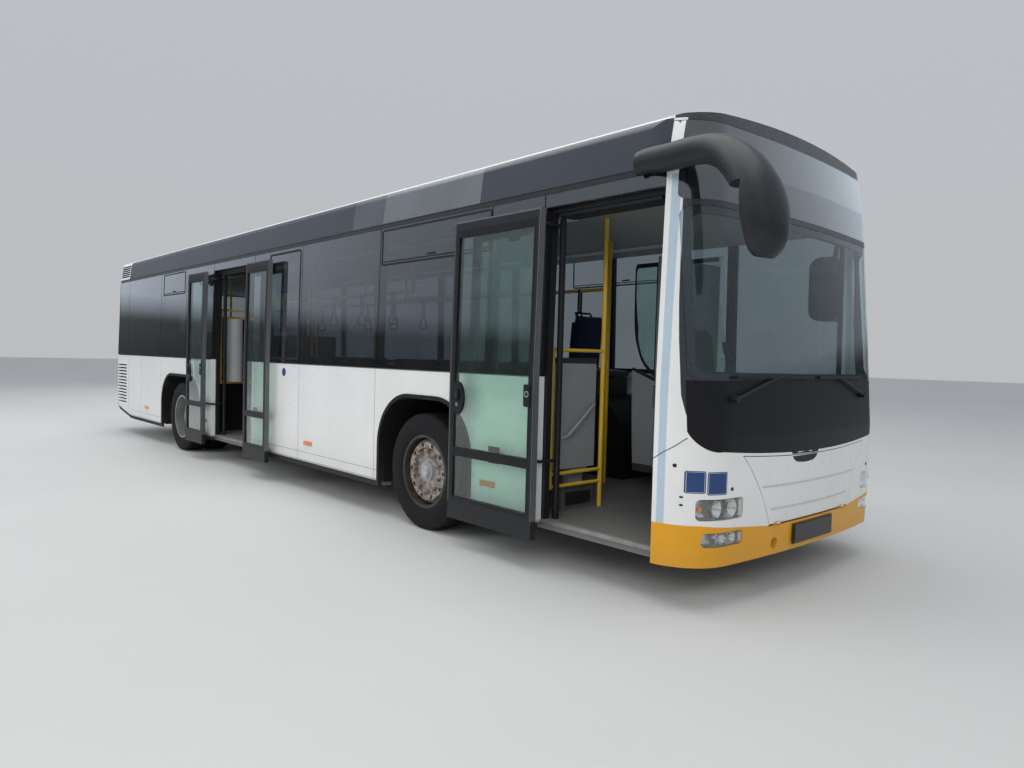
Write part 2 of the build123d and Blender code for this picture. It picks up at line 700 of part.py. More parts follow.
def arch_lips():
    """Raised edging around each arch, on the outside of the wall."""
    lips = []
    span = box(-LENGTH, LENGTH, -WIDTH, WIDTH, PANEL_BOTTOM, WAIST)
    for row in ARCHES:
        for side in (-1, 1):
            y0, y1 = sorted((side * (WIDTH / 2 + SEAT_GAP), side * (WIDTH / 2 + LIP_PROUD)))
            lips += (arch_strip(row, y0, y1, 0, LIP_WIDTH) & span).solids()
    return lips


def build_tubs():
    """Boxes over the wheels: a wall towards the aisle and a bent sheet out to the side wall."""
    tubs = []
    for row in ARCHES:
        foot = TUB_FOOT if row[0] == FRONT_AXLE else REAR_FLOOR_TOP - FLOOR_THICK
        for side in (-1, 1):
            y0, y1 = sorted((side * (TUB_INNER - TUB_WALL), side * TUB_INNER))
            tubs += (arch_cut(row, y0, y1, TUB_WALL) & box(-LENGTH, LENGTH, y0, y1, foot, WAIST)).solids()
            y0, y1 = sorted((side * (TUB_INNER + PANEL_JOINT), side * (WIDTH / 2 - WALL - SEAT_GAP)))
            sheet = arch_strip(row, y0, y1, 0, TUB_WALL)
            tubs += (sheet & box(-LENGTH, LENGTH, y0, y1, TUB_FOOT, WAIST)).solids()
    save("wheel_boxes", Compound(children=tubs + arch_lips()))


# Running gear

BEAM_LOW = (165.0, 250.0)
BEAM_HALF = 52.0
BOSS_RADIUS = 45.0
BOSS_HALF = 70.0
KINGPIN_RADIUS = 20.0
LUG_GAP = 5.0
LUG_THICK = 40.0
STUB_RADIUS = 40.0
STUB_END = 1100.0
BEARING_GAP = 0.05
HUB_RADIUS = 80.0
DIFF_RADIUS = 122.0
DIFF_Y = -115.0
TUBE_RADIUS = 68.0
REAR_HUB_RADIUS = 110.0
BELLOWS_RADIUS = 95.0


def build_front_axle():
    x = at(FRONT_AXLE)
    low0, low1 = BEAM_LOW
    beam = box(x - BEAM_HALF, x + BEAM_HALF, -600, 600, low0, low1)
    mid = (low0 + low1) / 2
    for side in (-1, 1):
        outline = Polyline(
            (side * 560, low0), (side * 600, low0), (side * 800, AXLE_Z - BOSS_HALF),
            (side * KINGPIN_Y, AXLE_Z - BOSS_HALF), (side * KINGPIN_Y, AXLE_Z + BOSS_HALF),
            (side * 780, AXLE_Z + BOSS_HALF), (side * 570, low1), (side * 560, low1), (side * 560, low0))
        arm = extrude(Plane.YZ * make_face(outline), 38, both=True)
        beam = beam + Pos(x, 0, 0) * arm
        beam += Pos(x, side * KINGPIN_Y, AXLE_Z) * Cylinder(BOSS_RADIUS, 2 * BOSS_HALF)
        beam -= Pos(x, side * KINGPIN_Y, AXLE_Z) * Cylinder(KINGPIN_RADIUS + BEARING_GAP, 4 * BOSS_HALF)
    save("front_axle", beam)


def build_knuckles():
    x = at(FRONT_AXLE)
    lug_z = BOSS_HALF + LUG_GAP
    top = lug_z + LUG_THICK
    web_in = BOSS_RADIUS + 3
    for side, name in ((-1, "knuckle_right"), (1, "knuckle_left")):
        y = side * KINGPIN_Y
        body = Pos(x, y, AXLE_Z) * Cylinder(KINGPIN_RADIUS, 2 * top)
        for end in (-1, 1):
            z = AXLE_Z + end * (lug_z + LUG_THICK / 2)
            body += Pos(x, y, z) * Cylinder(BOSS_RADIUS, LUG_THICK)
            body += box(x - 40, x + 40, y, y + side * (web_in + 28), z - LUG_THICK / 2, z + LUG_THICK / 2)
        body += box(x - 40, x + 40, y + side * web_in, y + side * (web_in + 28), AXLE_Z - top, AXLE_Z + top)
        stub_start = KINGPIN_Y + web_in
        body += rod((x, side * stub_start, AXLE_Z), (x, side * STUB_END, AXLE_Z), STUB_RADIUS)
        save(name, body)


def build_rear_axle():
    x = at(REAR_AXLE)
    axle = rod((x, -STUB_END, AXLE_Z), (x, STUB_END, AXLE_Z), STUB_RADIUS)
    axle += rod((x, -600, AXLE_Z), (x, 600, AXLE_Z), TUBE_RADIUS)
    axle += Pos(x, DIFF_Y, AXLE_Z) * Sphere(DIFF_RADIUS)
    axle += rod((x, DIFF_Y, AXLE_Z), (x - 300, DIFF_Y, AXLE_Z), 66)
    for side in (-1, 1):
        axle += box(x - 500, x + 500, side * 395, side * 465, 392, 440)
    save("rear_axle", axle)


def bellows(x, y, z0, z1, radius):
    """Air spring with one waist."""
    mid = (z0 + z1) / 2
    lobe = (z1 - z0) / 4
    bevel = lobe * 0.6
    outline = Polyline(
        (0, z0), (radius - 16, z0), (radius, z0 + lobe - bevel), (radius, z0 + lobe + bevel), (radius - 14, mid),
        (radius, z1 - lobe - bevel), (radius, z1 - lobe + bevel), (radius - 16, z1), (0, z1), (0, z0))
    return Pos(x, y, 0) * revolve(Plane.XZ * make_face(outline), Axis.Z)


def build_suspension():
    springs = []
    low = FLOOR_TOP - FLOOR_THICK
    for side in (-1, 1):
        springs.append(bellows(at(FRONT_AXLE), side * 240, BEAM_LOW[1] + SEAT_GAP, low - SEAT_GAP, 80))
        for lead in (-410, 410):
            springs.append(bellows(at(REAR_AXLE) + lead, side * 430, 440 + SEAT_GAP,
                                   REAR_FLOOR_TOP - FLOOR_THICK - SEAT_GAP, BELLOWS_RADIUS))
    save("air_springs", Compound(children=springs))


def build_engine():
    top = BENCH_TOP - FLOOR_THICK - SEAT_GAP
    block = box(at(11600), at(10560), -480, 480, 500, top)
    block = chamfer(block.edges().filter_by(Axis.X), 60)
    save("engine_block", block)


# Wheels

# Tyre half-section: radius and offset from the middle plane, from bead to tread
BEAD_HALF = 112.0
SHOULDER = 24.0


def tyre(y_mid):
    half = TYRE_WIDTH / 2
    bead = RIM_RADIUS + SEAT_GAP
    top = TYRE_RADIUS
    outline = [
        Line((-BEAD_HALF, bead), (BEAD_HALF, bead)),
        Line((BEAD_HALF, bead), (BEAD_HALF, bead + 17)),
        ThreePointArc((BEAD_HALF, bead + 17), (half, 388), (half - 12, top - SHOULDER)),
        ThreePointArc((half - 12, top - SHOULDER), (half - 19, top - 7), (half - 36, top)),
        Line((half - 36, top), (36 - half, top)),
        ThreePointArc((36 - half, top), (19 - half, top - 7), (12 - half, top - SHOULDER)),
        ThreePointArc((12 - half, top - SHOULDER), (-half, 388), (-BEAD_HALF, bead + 17)),
        Line((-BEAD_HALF, bead + 17), (-BEAD_HALF, bead)),
    ]
    face = Plane.YZ * make_face(outline)
    return Pos(0, y_mid, 0) * revolve(face, Axis.Y)


def ring(y0, y1, r_in, r_out):
    y_low, y_high = sorted((y0, y1))
    tube = Pos(0, y_low, 0) * Rot(-90, 0, 0) * Cylinder(r_out, y_high - y_low, align=(Align.CENTER, Align.CENTER, Align.MIN))
    if r_in > 0:
        tube -= Pos(0, y_low - 1, 0) * Rot(-90, 0, 0) * Cylinder(r_in, y_high - y_low + 2, align=(Align.CENTER, Align.CENTER, Align.MIN))
    return tube


BARREL_WALL = 12.0
FLANGE_RADIUS = 305.0
FLANGE_THICK = 8.0
STUD_CIRCLE = 167.5
STUD_COUNT = 10
HAND_HOLE_CIRCLE = 208.0
HAND_HOLE_RADIUS = 26.0


def barrel(y_mid):
    edge = BEAD_HALF + 1
    shape = ring(y_mid - edge, y_mid + edge, RIM_RADIUS - BARREL_WALL, RIM_RADIUS)
    for end in (-1, 1):
        shape += ring(y_mid + end * edge, y_mid + end * (edge + FLANGE_THICK), RIM_RADIUS - BARREL_WALL, FLANGE_RADIUS)
    return shape


def dish(points, side):
    """Wheel disc from its half-section, given as offset outward and radius."""
    outline = Polyline(*[(side * a, r) for a, r in points], (side * points[0][0], points[0][1]))
    return revolve(Plane.YZ * make_face(outline), Axis.Y)


def disc_holes(disc, y0, y1, circle, radius, count):
    cuts = []
    for i in range(count):
        turn = 2 * math.pi * i / count
        x, z = circle * math.cos(turn), circle * math.sin(turn)
        cuts.append(rod((x, y0, z), (x, y1, z), radius))
    return disc - cuts


def studs(y0, y1):
    result = None
    for i in range(STUD_COUNT):
        turn = 2 * math.pi * (i + 0.5) / STUD_COUNT
        x, z = STUD_CIRCLE * math.cos(turn), STUD_CIRCLE * math.sin(turn)
        stud = rod((x, y0, z), (x, y1, z), 15)
        result = stud if result is None else result + stud
    return result


TYRE_MID = TYRE_FACE - TYRE_WIDTH / 2


def front_rim(side):
    """Front wheel: disc pushed outward, ring of hand holes, flat stud face, hub with cap."""
    mid = TYRE_MID
    disc = dish([
        (mid + 30, RIM_RADIUS - BARREL_WALL + 3), (mid + 66, 262), (mid + 92, 238), (mid + 92, 226),
        (mid + 88, 176 + 20), (mid + 62, 190), (mid + 62, HUB_RADIUS - 5), (mid + 46, HUB_RADIUS - 5),
        (mid + 46, 200), (mid + 72, 212), (mid + 76, 232), (mid + 54, 254), (mid + 16, RIM_RADIUS - BARREL_WALL + 3),
    ], side)
    disc = disc_holes(disc, side * mid, side * (mid + 140), HAND_HOLE_CIRCLE + 12, HAND_HOLE_RADIUS - 8, STUD_COUNT)
    wheel = barrel(side * mid) + disc
    wheel += ring(side * (KINGPIN_Y + 90), side * (mid + 96), 0, HUB_RADIUS)
    wheel += ring(side * (mid + 96), side * (mid + 112), 0, 58)
    wheel += studs(side * (mid + 60), side * (mid + 96))
    wheel -= ring(side * (KINGPIN_Y + 60), side * (STUB_END + 4), 0, STUB_RADIUS + BEARING_GAP)
    return wheel


def rear_rim(side):
    """Twin rear wheel: two barrels, dished discs face to face, and the driven hub."""
    outer, inner = TYRE_MID, TYRE_MID - TYRE_WIDTH - TWIN_GAP
    seam = (outer + inner) / 2
    r_top = RIM_RADIUS - BARREL_WALL + 3
    pair = dish([
        (outer - 20, r_top), (outer - 70, 250), (seam + 16, 222), (seam + 16, STUB_RADIUS + 30),
        (seam - 16, STUB_RADIUS + 30), (seam - 16, 222), (inner + 70, 250), (inner + 20, r_top),
        (inner, r_top), (inner + 50, 240), (seam - 32, 208), (seam - 32, STUB_RADIUS + 20),
        (seam + 32, STUB_RADIUS + 20), (seam + 32, 208), (outer - 50, 240), (outer, r_top),
    ], side)
    wheel = barrel(side * outer) + barrel(side * inner) + pair
    wheel += ring(side * (inner - 60), side * (outer + 40), 0, REAR_HUB_RADIUS)
    wheel += ring(side * (outer + 40), side * (outer + 62), 0, REAR_HUB_RADIUS - 30)
    wheel += studs(side * (seam + 10), side * (seam + 66))
    wheel -= ring(side * (inner - 100), side * (STUB_END + 4), 0, STUB_RADIUS + BEARING_GAP)
    return wheel


def place_wheel(behind, shape):
    return Pos(at(behind), 0, AXLE_Z) * shape


def build_wheels():
    for side, tag in ((-1, "right"), (1, "left")):
        save(f"rim_front_{tag}", place_wheel(FRONT_AXLE, front_rim(side)))
        save(f"tyre_front_{tag}", place_wheel(FRONT_AXLE, tyre(side * TYRE_MID)))
        save(f"rim_rear_{tag}", place_wheel(REAR_AXLE, rear_rim(side)))
        twin = [tyre(side * TYRE_MID), tyre(side * (TYRE_MID - TYRE_WIDTH - TWIN_GAP))]
        solids = [s for t in twin for s in place_wheel(REAR_AXLE, t).solids()]
        save(f"tyres_rear_{tag}", Compound(children=solids))


# Doors: leaves on turning posts, drawn open, as the bus stands

LEAF_SPLIT = 12.0
SILL_RUBBER = 130.0
CROSS_BAR = (690.0, 756.0)
DOOR_GLASS = 6.0
GLASS_DEPTH = 12.0
EYE_RADIUS = 17.0
EYE_HALF = 12.5
PIN_RADIUS = 7.0
LUG_PLATE = 8.0
DOOR_MIDDLE = sum(REAR_DOOR) / 2

# Leaves: name, hinge edge of its hole, other edge of the leaf's space, closing direction
# (+1 forward, -1 rearward), reach of the arm, whether it carries the round handle plate
LEAVES = [
    ("door_front", FRONT_DOOR[1], FRONT_DOOR[0] + 8, 1, 449.4, True),
    ("door_rear_a", REAR_DOOR[1], DOOR_MIDDLE + LEAF_SPLIT / 2 - DOOR_EDGE_GAP, 1, 345.0, True),
    ("door_rear_b", REAR_DOOR[0], DOOR_MIDDLE - LEAF_SPLIT / 2 + DOOR_EDGE_GAP, -1, 345.0, False),
]


def side_half(z):
    """Half width of the body side at a height."""
    if z <= WAIST:
        return WIDTH / 2
    return WIDTH / 2 - (WIDTH / 2 - 1225.0) * (z - WAIST) / (GUTTER - WAIST)


def leaf_slab(x0, x1, depth0, depth1, z0, z1, shift):
    """Slab of a door leaf that follows the lean of the body side."""
    heights = [z0] + ([WAIST] if z0 < WAIST < z1 else []) + [z1]
    outer = [(-(side_half(z) - depth0) - shift, z) for z in heights]
    inner = [(-(side_half(z) - depth1) - shift, z) for z in reversed(heights)]
    outline = Polyline(*outer, *inner, outer[0])
    x_low, x_high = sorted((x0, x1))
    return Pos(x_low, 0, 0) * extrude(Plane.YZ * make_face(outline), x_high - x_low)


def door_open_reach(reach):
    closed = PIVOT_Y - POST_Y
    opened = closed + LEAF_SHIFT
    return math.sqrt(reach ** 2 + closed ** 2 - opened ** 2)


def door_leaf(name, hinge_edge, far_edge, way, reach, plate):
    post_x = at(hinge_edge) + way * POST_INSET
    open_reach = door_open_reach(reach)
    travel = reach + open_reach
    pivot_x = post_x - way * open_reach
    pivot_y = -(PIVOT_Y + LEAF_SHIFT)
    edge_a = at(hinge_edge) + way * DOOR_EDGE_GAP - way * travel
    edge_b = at(far_edge) - way * DOOR_EDGE_GAP - way * travel
    x0, x1 = sorted((edge_a, edge_b))
    shift = LEAF_SHIFT
    leaf = leaf_slab(x0, x1, 0, LEAF_THICK, LEAF_BOTTOM, LEAF_TOP, shift)
    low = LEAF_BOTTOM + SILL_RUBBER + 40
    holes = [(low, CROSS_BAR[0]), (CROSS_BAR[1], LEAF_TOP - 2 * LEAF_FRAME)]
    panes = []
    for z0, z1 in holes:
        leaf = leaf - leaf_slab(x0 + LEAF_FRAME, x1 - LEAF_FRAME, -1, LEAF_THICK + 1, z0, z1, shift)
        leaf = leaf - leaf_slab(x0 + LEAF_FRAME - 12, x1 - LEAF_FRAME + 12, GLASS_DEPTH - SEAT_GAP,
                                GLASS_DEPTH + DOOR_GLASS + SEAT_GAP, z0 - 12, z1 + 12, shift)
        panes.append(leaf_slab(x0 + LEAF_FRAME - 11, x1 - LEAF_FRAME + 11, GLASS_DEPTH,
                               GLASS_DEPTH + DOOR_GLASS, z0 - 11, z1 + 11, shift))
    face_y = -(WIDTH / 2) - shift
    if plate:
        oval = Pos(x0 + LEAF_FRAME + 44, 1122) * Ellipse(74, 122)
        knob = Pos(x0 + LEAF_FRAME + 44, 1150) * Ellipse(30, 44)
        leaf = leaf + Pos(0, face_y + GLASS_DEPTH - 1, 0) * extrude(Plane.XZ * oval, GLASS_DEPTH + 8)
        leaf = leaf + Pos(0, face_y - 7, 0) * extrude(Plane.XZ * knob, 14)
        lock = Pos(x1 - LEAF_FRAME - 8, 1180) * RectangleRounded(64, 150, 12)
        leaf = leaf + Pos(0, face_y + GLASS_DEPTH - 1, 0) * extrude(Plane.XZ * lock, GLASS_DEPTH + 4)
    pin_x, pin_y = pivot_x, pivot_y
    for z in ARM_HEIGHTS:
        inner_y = -(side_half(z) - LEAF_THICK) - shift
        for end in (-1, 1):
            z0, z1 = sorted((z + end * (EYE_HALF + 0.5), z + end * (EYE_HALF + 0.5 + LUG_PLATE)))
            leaf = leaf + box(pin_x - 14, pin_x + 14, inner_y - 2, pin_y, z0, z1)
            leaf = leaf + upright(pin_x, pin_y, z0, z1, 14)
            z0, z1 = sorted((z + end * (EYE_HALF + 0.5), z + end * (EYE_HALF + 20)))
            leaf = leaf + box(pin_x - 60, pin_x + 60, inner_y - 2, inner_y + 2, z - 60, z + 60)
        leaf = leaf + upright(pin_x, pin_y, z - EYE_HALF - 1, z + EYE_HALF + 1, PIN_RADIUS)
    save(f"{name}_leaf", leaf)
    save(f"{name}_glass", Compound(children=panes))
    post = upright(post_x, -POST_Y, FLOOR_TOP + SEAT_GAP, DRIVE_BOX_Z[0] - SEAT_GAP, POST_RADIUS)
    for z in ARM_HEIGHTS:
        points = [
            (post_x, -POST_Y, z), (post_x + way * 6, -1212, z), (post_x - way * 4, -ARM_CLEAR_Y, z),
            (pivot_x + way * 30, pivot_y, z), (pivot_x, pivot_y, z),
        ]
        post = post + rail(points, ARM_RADIUS)
        post = post + upright(pivot_x, pivot_y, z - EYE_HALF, z + EYE_HALF, EYE_RADIUS - 1)
        post = post - upright(pivot_x, pivot_y, z - EYE_HALF - 1, z + EYE_HALF + 1, PIN_RADIUS + BEARING_GAP)
    save(f"{name}_post", post)


DRIVE_BOX_Z = (2386.0, 2468.0)
JAMB_DEPTH = 46.0


def build_doors():
    for row in LEAVES:
        door_leaf(*row)
    frame_skin = envelope(WALL + SEAT_GAP) - envelope(WALL + JAMB_DEPTH)
    frames = []
    top = DOOR_TOP + 34
    for front, rear in DOORS:
        rear_jamb = side_box(-1, rear - JAMB_LIP, rear + 30, FLOOR_TOP + SEAT_GAP, top)
        front_jamb = side_box(-1, front - 30, front + JAMB_LIP, FLOOR_TOP + SEAT_GAP, top)
        header = side_box(-1, front - 30, rear + 30, LEAF_TOP - 15, top)
        frame = frame_skin & (rear_jamb + front_jamb + header)
        frame = frame & box(at(LENGTH), at(FRONT_SPLIT + 1), -WIDTH, 0, 0, 3000)
        drive = box(at(rear - 60), at(front + 60), -1165, -1010, *DRIVE_BOX_Z)
        frames += (frame + drive).solids()
    save("door_frames", Compound(children=frames))


# Inside of the saloon

CEILING_PANEL = (2480.0, 2500.0)


def build_ceiling():
    inside = envelope(WALL + SEAT_GAP)
    save("ceiling", inside & box(at(LENGTH - 100), at(420), -WIDTH, WIDTH, *CEILING_PANEL))


SEAT_HEIGHT = 430.0
SEAT_PAN = 60.0
SEAT_DEPTH = 430.0
SEAT_BACK = 560.0
SEAT_FOLD = 52.0
SEAT_RAKE = 40.0
SEAT_THICK = 100.0
SEAT_SPACE = 16.0
BENCH_IN = 330.0
BENCH_OUT = 1150.0

# Seat benches: distance behind the front of the back's rear face, side, floor height, facing
# Benches: distance behind the front of the backs, side, floor height
SEATS = [
    (3900.0, 1, FLOOR_TOP), (4720.0, 1, FLOOR_TOP), (5540.0, 1, FLOOR_TOP), (7000.0, 1, FLOOR_TOP),
    (4720.0, -1, FLOOR_TOP), (5540.0, -1, FLOOR_TOP),
    (8560.0, 1, REAR_FLOOR_TOP), (9400.0, 1, REAR_FLOOR_TOP), (10200.0, 1, REAR_FLOOR_TOP),
    (8560.0, -1, REAR_FLOOR_TOP), (9400.0, -1, REAR_FLOOR_TOP), (10200.0, -1, REAR_FLOOR_TOP),
    (11500.0, 1, BENCH_TOP), (11500.0, -1, BENCH_TOP),
]


def seat_bench(behind, side, floor):
    """Double seat: two backs, two pans on a bracket from the side wall, and one leg."""
    x = at(behind)
    pan_z = floor + SEAT_HEIGHT
    fold = pan_z + SEAT_FOLD
    top = pan_z + SEAT_PAN + SEAT_BACK
    rear_x = x + SEAT_RAKE * (top - fold) / (top - pan_z)
    pan = make_face(Polyline(
        (x + SEAT_RAKE, pan_z), (x + SEAT_RAKE + SEAT_DEPTH, pan_z), (x + SEAT_RAKE + SEAT_DEPTH, pan_z + SEAT_PAN),
        (x + SEAT_THICK, fold), (rear_x, fold), (x + SEAT_RAKE, pan_z)))
    back = make_face(Polyline(
        (rear_x, fold + PANEL_JOINT), (x + SEAT_THICK, fold + PANEL_JOINT), (x + SEAT_RAKE, top), (x, top),
        (rear_x, fold + PANEL_JOINT)))
    half = (BENCH_OUT - BENCH_IN - SEAT_SPACE) / 2
    wall_y = side * (WIDTH / 2 - WALL - SEAT_GAP)
    base = box(x + 120, x + 400, side * (BENCH_IN + 60), wall_y, pan_z - 8, pan_z + 10)
    backs = []
    for i in range(2):
        y0 = BENCH_IN + i * (half + SEAT_SPACE)
        far = y0 + half if side > 0 else -y0
        base = base + Pos(0, far, 0) * extrude(Plane.XZ * pan, half)
        backs.append(Pos(0, far, 0) * extrude(Plane.XZ * back, half))
    y_in, y_out = side * (BENCH_IN + 120), side * (BENCH_IN + 165)
    leg = box(x + 150, x + 330, y_in, y_out, floor + SEAT_GAP, pan_z - 8 - SEAT_GAP)
    return [base, leg] + backs


def build_seats():
    inside = envelope(WALL + SEAT_GAP)
    pieces = [piece & inside for row in SEATS for piece in seat_bench(*row)]
    save("passenger_seats", Compound(children=[s for piece in pieces for s in piece.solids()]))


PLATFORM_TOP = 560.0
WHEEL_TILT = 26.0
CAB_REAR = 1500.0
CAB_SIDE = 250.0
CAB_FRONT = 690.0
CAB_PANEL = 24.0
CAB_SIDE_TOP = 1290.0
CAB_BACK_TOP = 2300.0
CAB_GLASS_TOP = 2250.0

# Bend of the cab glass's front edge: distance and height half way, distance at its top
CAB_GLASS_BEND = (860.0, 1620.0, 900.0)

# Ticket desk: distance of its rear end, its overhang, bottom and top
CAB_DESK = (1130.0, 150.0, 1040.0, 1100.0)

# Dashboard: inset from the skin, distance of its rear edge, foot and top, and the hollow under it
DASH_SKIN = 58.0
DASH_REAR = 470.0
DASH_FOOT = 860.0
DASH_TOP = 1290.0
DASH_HOLLOW = (230.0, 800.0, 1150.0)

# Instrument pod: distances of its front and rear, Y of both ends, bottom and top
POD = (400.0, 640.0, 380.0, 960.0, 1080.0, 1270.0)
POD_CHAMFER = 40.0
WHEEL_HUB = (760.0, 660.0, 1235.0)
WHEEL_RING = (225.0, 15.0)
COLUMN_DROP = 265.0
COLUMN_RADIUS = 34.0
DRIVER_SEAT = (1350.0, 660.0)


def build_cab():
    inside = envelope(WALL + SEAT_GAP)
    front, rear = at(CAB_FRONT), at(CAB_REAR)
    base = FLOOR_TOP + SEAT_GAP
    platform = box(rear, front - 10, CAB_SIDE, WIDTH / 2 - WALL - SEAT_GAP, base, PLATFORM_TOP)
    rear_panel = box(rear, rear + CAB_PANEL, CAB_SIDE, 1140, PLATFORM_TOP, CAB_BACK_TOP)
    side_panel = box(rear, front, CAB_SIDE, CAB_SIDE + CAB_PANEL, PLATFORM_TOP, CAB_SIDE_TOP)
    desk = box(at(CAB_DESK[0]), front, CAB_SIDE - CAB_DESK[1], CAB_SIDE + 10, CAB_DESK[2], CAB_DESK[3])
    save("driver_cab", (platform + rear_panel + side_panel + desk) & inside)
    low, high = CAB_SIDE_TOP + SEAT_GAP, CAB_GLASS_TOP
    start = rear + CAB_PANEL + 2
    edge = ThreePointArc((front - 10, low), (at(CAB_GLASS_BEND[0]), CAB_GLASS_BEND[1]), (at(CAB_GLASS_BEND[2]), high))
    outline = [Line((start, low), (front - 10, low)), edge, Line((at(CAB_GLASS_BEND[2]), high), (start, high)),
               Line((start, high), (start, low))]
    save("cab_glass", Pos(0, CAB_SIDE + 16, 0) * extrude(Plane.XZ * make_face(outline), GLASS))


def build_dashboard():
    shelf = envelope(DASH_SKIN) & box(at(DASH_REAR), at(-600), -1150, 1150, DASH_FOOT, DASH_TOP)
    under = box(at(DASH_REAR), at(DASH_HOLLOW[0]), -1150, CAB_SIDE - 40, DASH_HOLLOW[1], DASH_HOLLOW[2])
    b0, b1, y0, y1, z0, z1 = POD
    pod = box(at(b1), at(b0), y0, y1, z0, z1)
    pod = chamfer(pod.edges().filter_by(Axis.Y), POD_CHAMFER)
    hub = (at(WHEEL_HUB[0]), WHEEL_HUB[1], WHEEL_HUB[2])
    foot_x = hub[0] + COLUMN_DROP * math.tan(math.radians(WHEEL_TILT))
    rear = foot_x + COLUMN_RADIUS + SEAT_GAP
    foot = box(rear, at(280), CAB_SIDE, 1120, FLOOR_TOP + SEAT_GAP, 900) & envelope(WALL + SEAT_GAP)
    save("dashboard", (shelf - under) + pod + foot)
    tilted = Pos(*hub) * Rot(0, -WHEEL_TILT, 0)
    ring, grip = WHEEL_RING
    wheel = tilted * Torus(ring, grip) + tilted * Box(2 * ring - 10, 34, 16) + tilted * Box(30, 2 * ring - 10, 16)
    wheel = wheel + tilted * Cylinder(52, 44)
    bend = (foot_x, hub[1], hub[2] - COLUMN_DROP)
    column = rod(hub, bend, 30) + rod(bend, (foot_x, hub[1], PLATFORM_TOP + SEAT_GAP), COLUMN_RADIUS)
    save("steering_wheel", wheel + column)


def build_driver_seat():
    x, y = at(DRIVER_SEAT[0]), DRIVER_SEAT[1]
    seat = Pos(x + 240, y, 1010) * Box(480, 480, 110)
    seat = fillet(seat.edges().filter_by(Axis.Z), 60)
    back = Box(100, 470, 760)
    back = Pos(x, y, 1360) * Rot(0, -8, 0) * fillet(back.edges().filter_by(Axis.X), 70)
    base = upright(x + 230, y, PLATFORM_TOP + SEAT_GAP, 970, 110)
    save("driver_seat", seat + back + base)


POLE_RADIUS = 17.0
RAIL_RADIUS = 15.0
BAR_RADIUS = 13.0

# Gates behind the doors: distance, Y of the outer stile and of the pole, heights of the bars
FRONT_GATE = 1400.0
GATE_Y = (-1060.0, -528.0)
GATE_BARS = (525.0, 615.0, 1495.0)
GATE_PANEL_Z = (640.0, 1430.0)
REAR_GATE = 7520.0
REAR_GATE_Y = (-1076.0, -560.0)
REAR_GATE_BARS = (1000.0, 1858.0, 1957.0)

# Round board on the rear gate that backs the standing room
BOARD_Y = -896.0
BOARD_RADIUS = 104.0
BOARD_THICK = 8.0

# Upright poles of the saloon: distance behind the front, Y, foot height
POLES = [
    (FRONT_GATE, GATE_Y[1], FLOOR_TOP), (2060.0, 300.0, FLOOR_TOP), (3560.0, 300.0, FLOOR_TOP),
    (5960.0, -560.0, FLOOR_TOP), (5960.0, 300.0, FLOOR_TOP), (REAR_GATE, REAR_GATE_Y[1], FLOOR_TOP),
    (7520.0, 300.0, FLOOR_TOP), (9200.0, 300.0, REAR_FLOOR_TOP), (9200.0, -300.0, REAR_FLOOR_TOP),
]


def gate(behind, outer, inner, bars):
    """Outer stile and the level bars between it and a pole."""
    x = at(behind)
    low, high = bars[0] - RAIL_RADIUS, bars[-1] + RAIL_RADIUS
    stile = upright(x, outer, low, high, RAIL_RADIUS)
    seats = [upright(x, outer, low - 1, high + 1, RAIL_RADIUS + SEAT_GAP),
             upright(x, inner, low - 1, high + 1, POLE_RADIUS + SEAT_GAP)]
    tubes = [rod((x, outer, z), (x, inner, z), BAR_RADIUS) for z in bars]
    return stile.solids() + [s for tube in tubes for s in (tube - seats).solids()]


def build_rails():
    top = CEILING_PANEL[0] - SEAT_GAP
    solids = []
    for behind, y, foot in POLES:
        solids += upright(at(behind), y, foot + SEAT_GAP, top, POLE_RADIUS).solids()
    solids += gate(FRONT_GATE, *GATE_Y, GATE_BARS)
    solids += gate(REAR_GATE, *REAR_GATE_Y, REAR_GATE_BARS)
    save("handrails", Compound(children=solids))
    x = at(FRONT_GATE)
    y0, y1 = GATE_Y[0] + 50, GATE_Y[1] - 52
    panel = box(x - 34, x - 18, y0, y1, *GATE_PANEL_Z)
    panel = panel + box(x - 60, x - 18, y0, y1, GATE_PANEL_Z[1] - 30, GATE_PANEL_Z[1] + 10)
    panel = panel + box(x - 80, x - 30, -820, -640, 600, 660)
    heater = box(x - 230, x - 40, -900, -560, FLOOR_TOP + SEAT_GAP, 500)
    heater = heater + box(x - 120, x - 60, -800, -660, 490, 650)
    low, high = REAR_GATE_BARS[0] + BAR_RADIUS + SEAT_GAP, REAR_GATE_BARS[1] - BAR_RADIUS - SEAT_GAP
    board = upright(at(REAR_GATE), BOARD_Y, low, high, BOARD_RADIUS)
    board = board - upright(at(REAR_GATE), BOARD_Y, low - 1, high + 1, BOARD_RADIUS - BOARD_THICK)
    board = board & box(at(REAR_GATE) - 10, at(REAR_GATE) + 200, BOARD_Y - 200, BOARD_Y + 200, low, high)
    save("partition", Compound(children=(panel + heater).solids() + board.solids()))


# Outside fittings


def nose_x(y, z):
    """Foremost x of the body at a place on the front."""
    lower, upper = SECTIONS[0], SECTIONS[1]
    for a, b in zip(SECTIONS, SECTIONS[1:]):
        if a[0] <= z <= b[0]:
            lower, upper = a, b
    t = (z - lower[0]) / (upper[0] - lower[0])
    back = lower[2] + t * (upper[2] - lower[2])
    return FRONT_X - back - FRONT_ARC + math.sqrt(FRONT_ARC ** 2 - y ** 2)


# Wipers: Y of the pivot, Y where the arm meets the blade, Y of both ends of the blade
WIPERS = [(-931.0, -500.0, -925.0, -60.0), (781.0, 360.0, 20.0, 740.0)]
WIPER_PIVOT_Z = 1226.0
BLADE_Z = 1352.0
BLADE_HALF = 7.5
BLADE_OFF = 13.0


